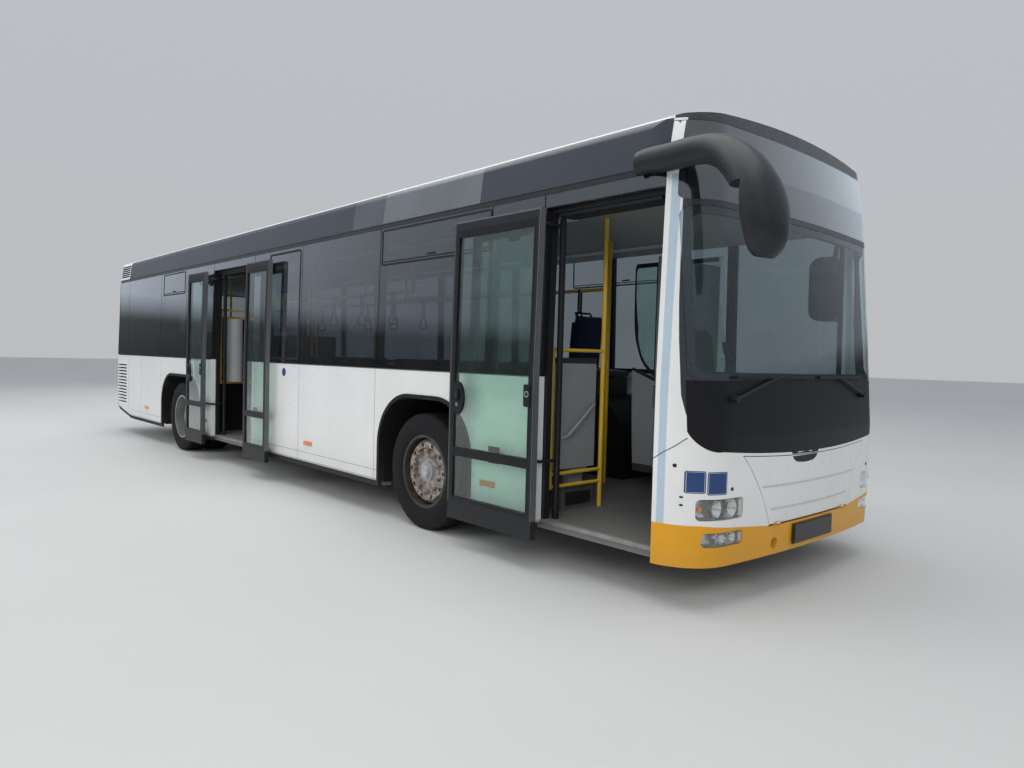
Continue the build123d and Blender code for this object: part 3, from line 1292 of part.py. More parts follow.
def build_wipers():
    parts = []
    skin = envelope(-SEAT_GAP)
    centre_x = nose_x(0, BLADE_Z) - FRONT_ARC
    for pivot_y, meet_y, end_a, end_b in WIPERS:
        face = nose_x(pivot_y, WIPER_PIVOT_Z)
        cap = rod((face - 20, pivot_y, WIPER_PIVOT_Z), (face + 38, pivot_y, WIPER_PIVOT_Z), 21) - skin
        outer = upright(centre_x, 0, BLADE_Z - BLADE_HALF, BLADE_Z + BLADE_HALF, FRONT_ARC + BLADE_OFF + 2 * BLADE_HALF)
        inner = upright(centre_x, 0, BLADE_Z - 100, BLADE_Z + 100, FRONT_ARC + BLADE_OFF)
        blade = (outer - inner) & box(0, 2 * FRONT_X, end_a, end_b, 1000, 1700)
        meet = (nose_x(meet_y, BLADE_Z) + BLADE_OFF + BLADE_HALF, meet_y, BLADE_Z)
        wiper = cap + rod((face + 27, pivot_y, WIPER_PIVOT_Z), meet, 9) + blade
        parts += wiper.solids()
    save("wipers", Compound(children=parts))


# Cowl of the right mirror: distance ahead of the front, Y, Z, half height across the line, half width
COWL = [
    (-545.0, -1262.0, 2588.0, 70.0, 44.0), (-380.0, -1268.0, 2590.0, 78.0, 50.0),
    (-170.0, -1276.0, 2590.0, 80.0, 56.0), (10.0, -1296.0, 2560.0, 84.0, 70.0),
    (135.0, -1326.0, 2484.0, 98.0, 90.0), (228.0, -1352.0, 2392.0, 106.0, 110.0),
    (296.0, -1370.0, 2290.0, 110.0, 126.0), (337.8, -1379.0, 2180.0, 110.0, 133.1),
    (352.0, -1381.0, 2080.0, 102.0, 124.0), (350.0, -1380.0, 2000.0, 79.0, 96.0),
    (342.0, -1380.0, 1956.0, 44.0, 54.0),
]
COWL_FLAT = 262.0
COWL_FLAT_Z = (1900.0, 2335.0)
COWL_FOOT = (400.0, 545.0, 2574.0, 2634.0)

# Left mirror: half sizes of its head, its rounding, its place, and the run of its arm
HEAD_HALF = (105.0, 130.0, 262.0)
HEAD_ROUND = 92.0
HEAD_PLACE = (560.0, MIRROR_REACH - HEAD_HALF[0], 2060.0)
LEFT_ARM = [(420.0, 1225.0, 2440.0), (420.0, 1300.0, 2440.0), (540.0, 1390.0, 2420.0), (560.0, 1400.0, 2200.0)]
LEFT_ARM_RADIUS = 20.0


def cowl():
    """Arm that swells into the drop-shaped head, flat at the back where the mirror glass sits."""
    faces = []
    for i, (lead, y, z, up, wide) in enumerate(COWL):
        a, b = COWL[max(i - 1, 0)], COWL[min(i + 1, len(COWL) - 1)]
        along = (b[0] - a[0], b[1] - a[1], b[2] - a[2])
        plane = Plane(origin=(FRONT_X + lead, y, z), x_dir=(along[1], -along[0], 0), z_dir=along)
        faces.append((plane * Ellipse(wide, up)).face())
    flat_x = FRONT_X + COWL_FLAT
    return loft(faces) - box(flat_x - 400, flat_x, -2000, -1200, *COWL_FLAT_Z)


def mirror_head(centre):
    """Rounded shell, flat at the back where the mirror glass sits."""
    half_x, half_y, half_z = HEAD_HALF
    head = Box(4 * half_x, 2 * half_y, 2 * half_z)
    head = fillet(head.edges().filter_by(Axis.X), HEAD_ROUND)
    head = fillet(head.faces().sort_by(Axis.X)[-1].edges(), HEAD_ROUND - 6)
    back = Pos(-half_x * 2.4, 0, 0) * Box(half_x * 3, 4 * half_y, 4 * half_z)
    return Pos(centre[0] - half_x, centre[1], centre[2]) * (head - back)


def build_mirrors():
    b0, b1, z0, z1 = COWL_FOOT
    right = (cowl() + box(at(b1), at(b0), -1262, -1150, z0, z1)) - envelope(-SEAT_GAP)
    centre = (at(HEAD_PLACE[0]), HEAD_PLACE[1], HEAD_PLACE[2])
    head = Pos(*centre) * Rot(0, 0, 90) * Pos(*[-c for c in centre]) * mirror_head(centre)
    left = rail([(at(b), y, z) for b, y, z in LEFT_ARM], LEFT_ARM_RADIUS)
    left = (left + head) - envelope(-SEAT_GAP)
    biggest = [sorted(part.solids(), key=lambda b: b.volume)[-1] for part in (right, left)]
    save("mirrors", Compound(children=biggest))


# Side marker lamps: distance behind the front, height
MARKERS = [(1850.0, 505.0), (4676.0, 505.0), (7590.0, 505.0), (10100.0, 505.0)]
PLATE_SIZE = (520.0, 112.0)
PLATE_Z = 358.0


def build_small_outside():
    lamps = []
    for behind, z in MARKERS:
        for side in (-1, 1):
            y0, y1 = sorted((side * (WIDTH / 2 + SEAT_GAP), side * (WIDTH / 2 + 13)))
            lamp = box(at(behind) - 78, at(behind) + 78, y0, y1, z - 20, z + 20)
            lamps += lamp.solids()
    save("marker_lamps", Compound(children=lamps))
    w, h = PLATE_SIZE
    plate = box(FRONT_X + 5, FRONT_X + 11, -w / 2, w / 2, PLATE_Z - h / 2, PLATE_Z + h / 2)
    holder = box(FRONT_X + SEAT_GAP - 4, FRONT_X + 5, -w / 2 - 12, w / 2 + 12, PLATE_Z - h / 2 - 10, PLATE_Z + h / 2 + 8)
    save("number_plate", (plate + holder) - envelope(-SEAT_GAP))


build_sides()
build_roof()
build_front()
build_rear()
build_floor()
build_tubs()
build_front_axle()
build_knuckles()
build_rear_axle()
build_suspension()
build_engine()
build_wheels()
build_doors()
build_ceiling()
build_seats()
build_cab()
build_dashboard()
build_driver_seat()
build_rails()
build_wipers()
build_mirrors()
build_small_outside()
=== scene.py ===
import bpy
import bmesh
import math
from mathutils import Matrix, Vector, noise
from mathutils.bvhtree import BVHTree


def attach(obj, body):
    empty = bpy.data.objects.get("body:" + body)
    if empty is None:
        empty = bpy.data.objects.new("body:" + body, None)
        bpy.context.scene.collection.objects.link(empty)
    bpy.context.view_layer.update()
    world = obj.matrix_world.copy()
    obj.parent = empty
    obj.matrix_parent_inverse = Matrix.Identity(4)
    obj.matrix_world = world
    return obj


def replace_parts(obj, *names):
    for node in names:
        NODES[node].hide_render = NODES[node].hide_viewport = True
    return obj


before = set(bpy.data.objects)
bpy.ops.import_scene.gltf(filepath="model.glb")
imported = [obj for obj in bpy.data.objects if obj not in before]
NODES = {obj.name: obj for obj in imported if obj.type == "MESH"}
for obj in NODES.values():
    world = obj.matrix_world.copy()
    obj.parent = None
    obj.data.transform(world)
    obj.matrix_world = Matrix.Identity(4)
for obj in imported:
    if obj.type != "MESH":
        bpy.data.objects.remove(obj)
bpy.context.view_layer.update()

# Metres, +X forward, +Y left, +Z up. Places along the bus are metres behind FRONT_X, the foremost
# point of the front face.
FRONT_X = 5.7625
WAIST = 1.31  # lower edge of the window band
SKIRT = 0.3115  # lower edge of the side walls
FLOOR, REAR_FLOOR, BENCH_FLOOR = 0.33, 0.64, 1.01
CEILING, RAIL_HEIGHT = 2.48, 2.06
AXLE_Z = 0.478
FRONT_AXLE, REAR_AXLE = 2.7, 8.575
TYRE_MID = 1.232 - 0.1375  # middle of the outer tyres from the middle of the bus
TWIN_STEP = 0.315
SIDES = ((-1, "right"), (1, "left"))
MATERIALS = {}


def at(behind):
    return FRONT_X - behind


def along(points):
    """Points (behind, height) as (x, height)."""
    return [(at(b), z) for b, z in points]


# Materials


class Shade:
    """Node material under construction: helpers return sockets."""

    def __init__(self, name):
        self.mat = MATERIALS[name] = bpy.data.materials.new(name)
        self.mat.use_nodes = True
        self.tree = self.mat.node_tree
        self.tree.nodes.clear()
        self.out = self.add("OutputMaterial")
        self.where = self.add("TexCoord").outputs["Object"]
        split = self.add("SeparateXYZ")
        self.link(self.where, split.inputs[0])
        self.x, self.y, self.z = split.outputs

    def add(self, kind, **values):
        n = self.tree.nodes.new("ShaderNode" + kind)
        for key, value in values.items():
            setattr(n, key, value)
        return n

    def link(self, a, b):
        self.tree.links.new(a, b)

    def feed(self, socket, value):
        if isinstance(value, bpy.types.NodeSocket):
            self.link(value, socket)
        elif isinstance(value, tuple) and len(value) == 3 and socket.type == "RGBA":
            socket.default_value = (*value, 1.0)
        else:
            socket.default_value = value

    def made(self, node, values, output=0):
        """Output of a node whose sockets, by place or name, get values."""
        for key, value in values.items():
            self.feed(node.inputs[key], value)
        return node.outputs[output]

    def calc(self, operation, a, b=0.0, clamp=False):
        return self.made(self.add("Math", operation=operation, use_clamp=clamp), {0: a, 1: b})

    def times(self, a, b, clamp=False):
        return self.calc("MULTIPLY", a, b, clamp)

    def less(self, a, b):
        return self.calc("SUBTRACT", a, b)

    def most(self, a, b):
        return self.calc("MAXIMUM", a, b)

    def far(self, a, b):
        """Length of the vector a, b."""
        return self.calc("SQRT", self.calc("ADD", self.times(a, a), self.times(b, b)))

    def behind(self):
        """Metres behind the front."""
        return self.less(FRONT_X, self.x)

    def span(self, value, low, high, to_low=0.0, to_high=1.0):
        """value taken from low..high to to_low..to_high, clamped."""
        values = (value, low, high, to_low, to_high)
        return self.made(self.add("MapRange", clamp=True), dict(enumerate(values)))

    def over(self, value, edge, soft=0.002):
        return self.span(value, edge, edge + soft)

    def under(self, value, edge, soft=0.002):
        return self.span(value, edge, edge + soft, 1.0, 0.0)

    def within(self, value, low, high, soft=0.0008):
        return self.times(self.over(value, low - soft, 2 * soft), self.under(value, high - soft, 2 * soft))

    def cloud(self, scale, detail, rough=0.55, where=None):
        values = {"Vector": where or self.where, "Scale": scale, "Detail": detail, "Roughness": rough}
        return self.made(self.add("TexNoise"), values)

    def mix(self, share, a, b, blend="MIX"):
        return self.made(self.add("Mix", data_type="RGBA", blend_type=blend), {0: share, 6: a, 7: b}, 2)

    def grey(self, value):
        return self.made(self.add("CombineColor"), {0: value, 1: value, 2: value})

    def relief(self, height, strength, distance):
        return self.made(self.add("Bump"), {"Strength": strength, "Distance": distance, "Height": height})

    def blend(self, share, a, b):
        return self.made(self.add("MixShader"), {0: share, 1: a, 2: b})

    def end(self, shader, nodes):
        """Shader to the output, and the material on the CAD nodes named."""
        self.link(shader, self.out.inputs[0])
        for name in nodes.split():
            data = NODES[name].data
            data.materials.clear()
            data.materials.append(self.mat)
            for polygon in data.polygons:
                polygon.material_index = 0


def set_ramp(ramp, stops):
    """Colour ramp of (position, colour), where the first two stand for its two first stops."""
    for k, (position, colour) in enumerate(stops):
        stop = ramp.elements[k] if k < 2 else ramp.elements.new(position)
        stop.position = position
        stop.color = (*colour, 1.0)


def finish(name, colour, rough, nodes="", metallic=0.0, coat=0.0, specular=0.5, vary=0.08, blotch=1.3,
           rough_vary=0.1, grain=(60.0, 0.06, 0.002), dust=0.0, dirt=0.0, dirt_top=0.85, streaks=0.0,
           paint=None, sheen=0.0, dust_colour=(0.33, 0.3, 0.26)):
    """Opaque surface: colour clouds, dust, road dirt from below, uneven gloss and a fine relief."""
    s = Shade(name)
    base = paint(s) if paint else colour
    tone = s.span(s.cloud(blotch, 5.0, 0.6), 0.3, 0.7, 1.0 - vary, 1.0 + vary * 0.5)
    base = s.mix(1.0, base, s.grey(tone), "MULTIPLY")
    fine = s.cloud(blotch * 23.0, 6.0, 0.7)
    if streaks:
        tall = s.made(s.add("Mapping"), {0: s.where, "Scale": Vector((9.0, 9.0, 0.7))})
        run = s.cloud(1.0, 3.0, 0.6, tall)
        base = s.mix(s.span(run, 0.5, 0.78, 0.0, streaks), base, (0.2, 0.18, 0.15))
    if dust:
        base = s.mix(s.times(s.span(fine, 0.42, 0.75), dust), base, dust_colour)
    if dirt:
        low = s.calc("POWER", s.span(s.z, dirt_top, 0.22), 2.2)
        low = s.times(low, s.span(fine, 0.25, 0.7, 0.35, 1.0))
        base = s.mix(s.times(low, dirt, True), base, (0.16, 0.135, 0.11))
    half = rough_vary * 0.5
    values = {
        "Base Color": base,
        "Roughness": s.calc("ADD", s.span(fine, 0.3, 0.7, rough - half, rough + half), 0.0, True),
        "Metallic": metallic, "Specular IOR Level": specular, "Coat Weight": coat, "Coat Roughness": 0.06,
        "Normal": s.relief(s.cloud(grain[0], 3.0, 0.6), *grain[1:]),
    }
    if sheen:
        values.update({"Sheen Weight": sheen, "Sheen Roughness": 0.4})
    s.end(s.made(s.add("BsdfPrincipled"), values), nodes)


def glazing(name, tint, nodes, film=(0.35, 0.37, 0.38), film_share=0.012, edge=2.0):
    """Pane: what is behind shows through a tint, the surface mirrors by angle, with a thin film of dust."""
    s = Shade(name)
    tone = s.span(s.cloud(0.8, 4.0), 0.3, 0.7, 0.93, 1.0)
    clear = s.made(s.add("BsdfTransparent"), {0: s.mix(1.0, tint, s.grey(tone), "MULTIPLY")})
    shine = s.made(s.add("BsdfPrincipled"), {
        "Base Color": (0.93, 0.95, 0.96), "Metallic": 1.0,
        "Roughness": s.span(s.cloud(1.7, 5.0, 0.7), 0.35, 0.75, 0.015, 0.05),
        "Normal": s.relief(s.cloud(2.6, 2.0, 0.4), 0.12, 0.0035)})
    # Schlick's mirror share, only on the side that the pane turns to the ray
    slope = s.made(s.add("LayerWeight"), {"Blend": 0.5}, "Facing")
    share = s.calc("ADD", s.times(s.calc("POWER", slope, 5.0), 0.96), 0.04)
    outside = s.less(1.0, s.add("NewGeometry").outputs["Backfacing"])
    glass = s.blend(s.times(s.times(share, outside), edge, True), clear, shine)
    veil = s.made(s.add("BsdfPrincipled"), {"Base Color": film, "Roughness": 0.8})
    dusty = s.span(s.cloud(5.0, 6.0, 0.75), 0.4, 0.8, film_share * 0.4, film_share * 2.0)
    s.end(s.blend(dusty, glass, veil), nodes)


WHITE = (0.78, 0.785, 0.775)
CHARCOAL = (0.028, 0.03, 0.036)
BLACK = (0.012, 0.012, 0.014)
DEEP_BLACK = (0.006, 0.006, 0.007)
YELLOW = (0.72, 0.34, 0.012)

# Wheel openings in the side walls: place of the axle, half width, top, corner radius
ARCH_EDGES = [(FRONT_AXLE, 0.624, 1.073, 0.43), (REAR_AXLE, 0.765, 1.045, 0.4)]

# Rear edge of the black front mask: height, distance behind the front
MASK_EDGE = [(1.05, 0.172), (1.148, 0.205), (1.244, 0.23), (1.386, 0.242), (1.557, 0.257), (1.785, 0.27),
             (2.07, 0.278), (2.27, 0.284), (2.47, 0.286), (2.77, 0.31)]

# Leaves as they stand open: the ends of each along the bus
LEAVES = [(3.5746, 4.4896), (-2.2286, -1.6236), (-0.3114, 0.2936)]


def paint_side(s):
    """White panels under the band, black behind the glass and in the arches, a grey joint below."""
    dark = s.over(s.z, WAIST - 0.002, 0.001)
    body = s.mix(s.times(s.within(s.z, SKIRT, 0.33), 0.55), WHITE, (0.2, 0.2, 0.2))
    behind = s.behind()
    for axle, half, top, radius in ARCH_EDGES:
        out = s.most(s.less(s.calc("ABSOLUTE", s.less(behind, axle)), half - radius), 0.0)
        up = s.most(s.less(s.z, top - radius), 0.0)
        dark = s.most(dark, s.under(s.far(out, up), radius + 0.005, 0.001))
    return s.mix(dark, body, BLACK)


def paint_mask(s):
    """Front surround: black round the screen, white below and on the pillar, with its pale strip."""
    behind = s.behind()
    edge = s.add("ValToRGB")
    set_ramp(edge.color_ramp, [((height - 1.0) / 2.0, (place,) * 3) for height, place in MASK_EDGE])
    place = s.made(edge, {0: s.times(s.less(s.z, 1.0), 0.5)})
    black = s.times(s.under(s.less(behind, place), -0.0006, 0.0012), s.over(s.z, 1.052))
    wave = s.times(s.cloud(6.0, 4.0), 0.004)
    strip = s.within(s.calc("ADD", behind, wave), 0.299, 0.347, 0.0015)
    strip = s.times(strip, s.span(s.z, 2.5, 2.52, 0.8, 0.0))
    strip = s.times(strip, s.over(s.z, 0.29, 0.02))
    return s.mix(black, s.mix(strip, WHITE, (0.36, 0.5, 0.62)), CHARCOAL)


def paint_cove(s):
    """Charcoal panel over the windows: sign window, small panel, joints, and slots of the engine bay in deep
    black as painted shade.
    """
    behind = s.behind()
    right = s.under(s.y, -0.01, 0.02)
    base = (0.026, 0.031, 0.044)
    for b0, b1, colour in ((2.041, 3.389, (0.115, 0.13, 0.145)), (3.389, 3.907, (0.06, 0.072, 0.085))):
        base = s.mix(s.times(s.within(behind, b0, b1), right), base, colour)
    base = s.mix(s.within(behind, 11.19, 11.71), base, WHITE)
    # Slots of the engine bay vent in deep black: painted shade inside the openings.
    inside = s.within(behind, 11.215, 11.69)
    for k in range(6):
        middle = 2.621 + 0.034 * k
        slot = s.times(inside, s.within(s.z, middle - 0.0125, middle + 0.0125))
        base = s.mix(slot, base, DEEP_BLACK)
    joints = 0.0
    for place in (2.041, 3.389, 3.907, 6.1, 8.385, 9.48, 11.165):
        joints = s.most(s.within(behind, place - 0.004, place + 0.004), joints)
    return s.mix(joints, base, BLACK)


def paint_roof(s):
    """White, black over the windscreen."""
    return s.mix(s.under(s.behind(), 0.371), WHITE, (0.014, 0.015, 0.019))


def paint_rear(s):
    """White tail with yellow lower corners and a dark band that carries on the side windows."""
    behind = s.behind()
    corner = s.times(s.over(behind, 11.84), s.under(s.z, 0.958))
    body = s.mix(s.most(s.under(s.z, 0.47), corner), WHITE, YELLOW)
    dark = s.times(s.within(s.z, WAIST, 2.53), s.under(behind, 11.8))
    return s.mix(dark, body, BLACK)


def paint_grille(s):
    """White slats, black as painted shade where they lie back in the wall, which draws in towards the tail.
    """
    limit = s.span(s.behind(), 11.62, 11.875, 1.227, 1.14)
    # Black where the slats lie back: painted shade of the recess.
    deep = s.less(s.calc("ABSOLUTE", s.y), limit)
    return s.mix(s.under(deep, -0.001), WHITE, DEEP_BLACK)


def paint_rim(s):
    """Steel wheel, once silver: rust in clouds and around the nuts, darker at the outer edge by the tyre."""
    radius = s.far(s.less(s.x, at(FRONT_AXLE)), s.less(s.z, AXLE_Z))
    base = s.mix(s.span(s.cloud(17.0, 6.0, 0.72), 0.44, 0.62), (0.5, 0.48, 0.44), (0.23, 0.12, 0.055))
    base = s.mix(s.span(s.cloud(55.0, 5.0, 0.7), 0.5, 0.66), base, (0.09, 0.055, 0.035))
    base = s.mix(s.under(radius, 0.09, 0.015), base, (0.52, 0.52, 0.53))
    # Darker towards the outer edge, next to the tyre.
    return s.mix(s.times(s.over(radius, 0.262, 0.01), 0.85), base, (0.03, 0.026, 0.024))


def paint_leaf(s):
    """Charcoal frame with a paler outer edge, black crossbar and black plates for grip and lock."""
    rim, plates = s.over(s.z, 2.4135, 0.001), 0.0
    for x0, x1 in LEAVES:
        for a, b in ((x0 - 0.01, x0 + 0.0115), (x1 - 0.0115, x1 + 0.01)):
            rim = s.most(rim, s.within(s.x, a, b))
        plates = s.most(plates, s.within(s.x, x0 + 0.03, x1 - 0.03))
    rim = s.times(rim, s.over(s.z, 0.34))
    plates = s.times(plates, s.within(s.z, 0.36, 2.36))
    return s.mix(rim, s.mix(plates, (0.013, 0.0145, 0.018), DEEP_BLACK), (0.11, 0.115, 0.125))


def paint_partition(s):
    """Grey screen by the front door, black padded top, dark heater; silver board at the rear door."""
    base = s.mix(s.over(s.z, 1.399), (0.27, 0.28, 0.29), (0.02, 0.02, 0.022))
    base = s.mix(s.under(s.z, 0.502), base, (0.11, 0.112, 0.118))
    return s.mix(s.under(s.x, -0.01, 0.02), base, (0.5, 0.51, 0.52))


def paint_cab(s):
    """Grey cab panels on a dark platform."""
    return s.mix(s.under(s.z, 0.5585, 0.001), (0.33, 0.34, 0.35), (0.06, 0.06, 0.062))


# Relief of a finish: scale of its grain, strength, distance
MOULDED, SATIN, PEBBLED = (420.0, 0.25, 0.0004), (350.0, 0.25, 0.0004), (420.0, 0.3, 0.0004)
WOVEN = (900.0, 0.6, 0.0007)


def make_materials():
    finish("side_paint", WHITE, 0.3, "side_wall_right side_wall_left", coat=0.2, vary=0.05, dust=0.015,
           dirt=0.3, dirt_top=0.75, streaks=0.05, paint=paint_side, specular=0.4)
    finish("body_paint", WHITE, 0.3, "front_flap engine_lid", coat=0.25, vary=0.05, dust=0.012, dirt=0.2,
           streaks=0.04)
    finish("mask_paint", WHITE, 0.3, "front_mask", coat=0.15, vary=0.05, dust=0.01, dirt=0.16,
           paint=paint_mask, specular=0.4)
    finish("cove_paint", CHARCOAL, 0.34, "cove_panels", coat=0.1, vary=0.16, dust=0.01, paint=paint_cove,
           specular=0.45)
    finish("roof_paint", WHITE, 0.4, "roof", coat=0.2, vary=0.1, dust=0.16, streaks=0.12, paint=paint_roof)
    finish("tail_paint", WHITE, 0.3, "rear_wall", coat=0.2, vary=0.05, dust=0.02, dirt=0.25, streaks=0.08,
           paint=paint_rear)
    finish("grille_paint", WHITE, 0.4, "engine_grilles", vary=0.06, paint=paint_grille)
    finish("bumper_paint", YELLOW, 0.36, "front_bumper", coat=0.08, vary=0.08, dust=0.015, dirt=0.22,
           dirt_top=0.5, specular=0.35)
    finish("panel_black", (0.006, 0.006, 0.0075), 0.42, "windscreen_panel", vary=0.2, blotch=2.4, dust=0.01,
           specular=0.25)
    finish("leaf_paint", CHARCOAL, 0.42, "door_front_leaf door_rear_a_leaf door_rear_b_leaf", vary=0.16,
           dust=0.008, dirt=0.04, dirt_top=0.5, paint=paint_leaf, specular=0.3)
    # Black rubber, also used for black patches and a strip put in as painted shade: grip notch and groove
    # under the cove.
    finish("rubber_black", (0.012, 0.012, 0.013), 0.62, "air_springs", vary=0.2, dust=0.04,
           grain=(180.0, 0.2, 0.0006))
    finish("plastic_black", (0.009, 0.0095, 0.011), 0.5,
           "door_front_post door_rear_a_post door_rear_b_post wipers steering_wheel door_frames",
           vary=0.15, dust=0.01, grain=PEBBLED, specular=0.35)
    finish("cowl_black", (0.011, 0.012, 0.015), 0.4, "mirrors", vary=0.15, dust=0.015,
           grain=(420.0, 0.2, 0.0004), specular=0.4)
    finish("plastic_matt", (0.03, 0.031, 0.035), 0.7, "dashboard", vary=0.15, dust=0.03,
           grain=(380.0, 0.35, 0.0005))
    finish("plastic_grey", (0.3, 0.315, 0.33), 0.5, dust=0.04, grain=MOULDED)
    finish("cab_grey", (0.3, 0.31, 0.32), 0.5, "driver_cab", dust=0.04, grain=MOULDED, paint=paint_cab)
    finish("screen_panels", (0.27, 0.28, 0.29), 0.5, "partition", dust=0.04, grain=SATIN,
           paint=paint_partition)
    finish("plastic_pale", (0.5, 0.51, 0.5), 0.5, "roof_hatches", vary=0.07, dust=0.05, grain=SATIN)
    finish("arch_plastic", (0.008, 0.008, 0.009), 0.62, "wheel_boxes", vary=0.2, dust=0.015, dirt=0.08,
           dirt_top=0.8, grain=(200.0, 0.3, 0.0008), specular=0.3)
    finish("chassis_steel", (0.03, 0.03, 0.031), 0.6, "front_axle knuckle_right knuckle_left rear_axle",
           metallic=0.4, vary=0.3, blotch=4.0, dust=0.35, dirt=0.6, dirt_top=0.9, grain=(90.0, 0.4, 0.001))
    finish("engine_iron", (0.13, 0.13, 0.132), 0.6, "engine_block", metallic=0.7, vary=0.3, blotch=5.0,
           dust=0.3, grain=(70.0, 0.4, 0.0015))
    finish("rim_rusty", (0.5, 0.48, 0.44), 0.55, "rim_front_right rim_front_left", metallic=0.55, vary=0.15,
           blotch=9.0, paint=paint_rim, grain=(140.0, 0.5, 0.0008))
    finish("rim_silver", (0.42, 0.42, 0.42), 0.42, "rim_rear_right rim_rear_left", metallic=0.7, vary=0.22,
           blotch=6.0, dust=0.35, dirt=0.2, grain=(120.0, 0.3, 0.0006))
    finish("floor_vinyl", (0.165, 0.162, 0.158), 0.62, "floor_frame", vary=0.14, blotch=2.2, dust=0.3,
           grain=(260.0, 0.5, 0.0006), dust_colour=(0.3, 0.27, 0.22))
    finish("ceiling_panel", (0.3, 0.3, 0.29), 0.5, "ceiling", vary=0.06, dust=0.04)
    finish("aluminium", (0.62, 0.63, 0.64), 0.33, metallic=0.9, vary=0.1, blotch=7.0, dust=0.15)
    finish("sill_metal", (0.36, 0.355, 0.34), 0.5, metallic=0.6, vary=0.2, blotch=9.0, dust=0.3,
           dust_colour=(0.2, 0.18, 0.15))
    finish("rail_paint", (0.74, 0.46, 0.03), 0.36, "handrails", coat=0.2, vary=0.1, blotch=6.0, dust=0.1)
    finish("sign_blue", (0.008, 0.045, 0.17), 0.35, coat=0.1, vary=0.1, blotch=6.0, dust=0.05)
    finish("plate_black", (0.012, 0.012, 0.013), 0.4, "number_plate", coat=0.1, vary=0.2, dust=0.1,
           grain=(140.0, 0.4, 0.0008))
    finish("chrome", (0.72, 0.72, 0.7), 0.12, metallic=1.0, vary=0.06, rough_vary=0.06,
           grain=(40.0, 0.1, 0.001))
    finish("chrome_dull", (0.66, 0.66, 0.64), 0.22, metallic=0.9, vary=0.12, blotch=8.0)
    finish("amber", (0.75, 0.22, 0.015), 0.25, "marker_lamps", coat=0.5, vary=0.15, blotch=30.0,
           grain=(300.0, 0.5, 0.0008))
    finish("lamp_red", (0.36, 0.012, 0.01), 0.22, "rear_lamps", coat=0.5, vary=0.2, blotch=30.0,
           grain=(260.0, 0.6, 0.0008))
    finish("fabric_blue", (0.012, 0.022, 0.085), 0.85, "passenger_seats", vary=0.3, blotch=14.0, dust=0.12,
           sheen=0.35, grain=WOVEN, dust_colour=(0.05, 0.08, 0.2))
    finish("fabric_dark", (0.02, 0.021, 0.027), 0.85, "driver_seat", vary=0.25, blotch=16.0, dust=0.12,
           sheen=0.3, grain=WOVEN)
    finish("grip_strap", (0.05, 0.05, 0.055), 0.75, vary=0.15, blotch=20.0, grain=(700.0, 0.5, 0.0005))
    finish("tyre_rubber", (0.008, 0.008, 0.0088), 0.78,
           "tyre_front_right tyre_front_left tyres_rear_right tyres_rear_left", vary=0.2, blotch=5.0,
           dust=0.16, specular=0.3, grain=(160.0, 0.35, 0.001), dust_colour=(0.05, 0.045, 0.04))
    # Darker grey for the ribs of the flap: painted shade of its creases.
    finish("crease_painted_shade", (0.56, 0.565, 0.57), 0.36, coat=0.2, vary=0.06)
    # Dark joints, also the dark sheets put behind the grilles and slots as painted shade.
    finish("joints_and_shade_dark", (0.03, 0.03, 0.032), 0.7, vary=0.2)
    finish("lamp_strip", (0.75, 0.75, 0.72), 0.4, vary=0.05)
    finish("cab_bar", (0.3, 0.31, 0.32), 0.4, vary=0.1)
    finish("floor_pale", (0.6, 0.6, 0.59), 0.75, vary=0.04, blotch=0.25, rough_vary=0.05,
           grain=(25.0, 0.1, 0.002))
    glazing("window_glass", (0.53, 0.57, 0.6), "side_glass rear_glass", edge=3.6)
    glazing("door_glass", (0.84, 0.96, 0.91),
            "door_front_glass door_rear_a_glass door_rear_b_glass cab_glass",
            film=(0.4, 0.46, 0.42), film_share=0.03, edge=2.4)
    glazing("screen_glass", (0.84, 0.9, 0.9), "windscreen", film_share=0.01, edge=1.3)
    glazing("sign_glass", (0.3, 0.33, 0.36), "destination_glass", film_share=0.02, edge=3.5)
    glazing("lamp_cover", (0.94, 0.95, 0.95), "front_lamps", film=(0.6, 0.6, 0.56), film_share=0.05)


# Mesh building


def from_place(place, *offsets):
    """Points at offsets from a place."""
    return [Vector(place) + Vector(offset) for offset in offsets]


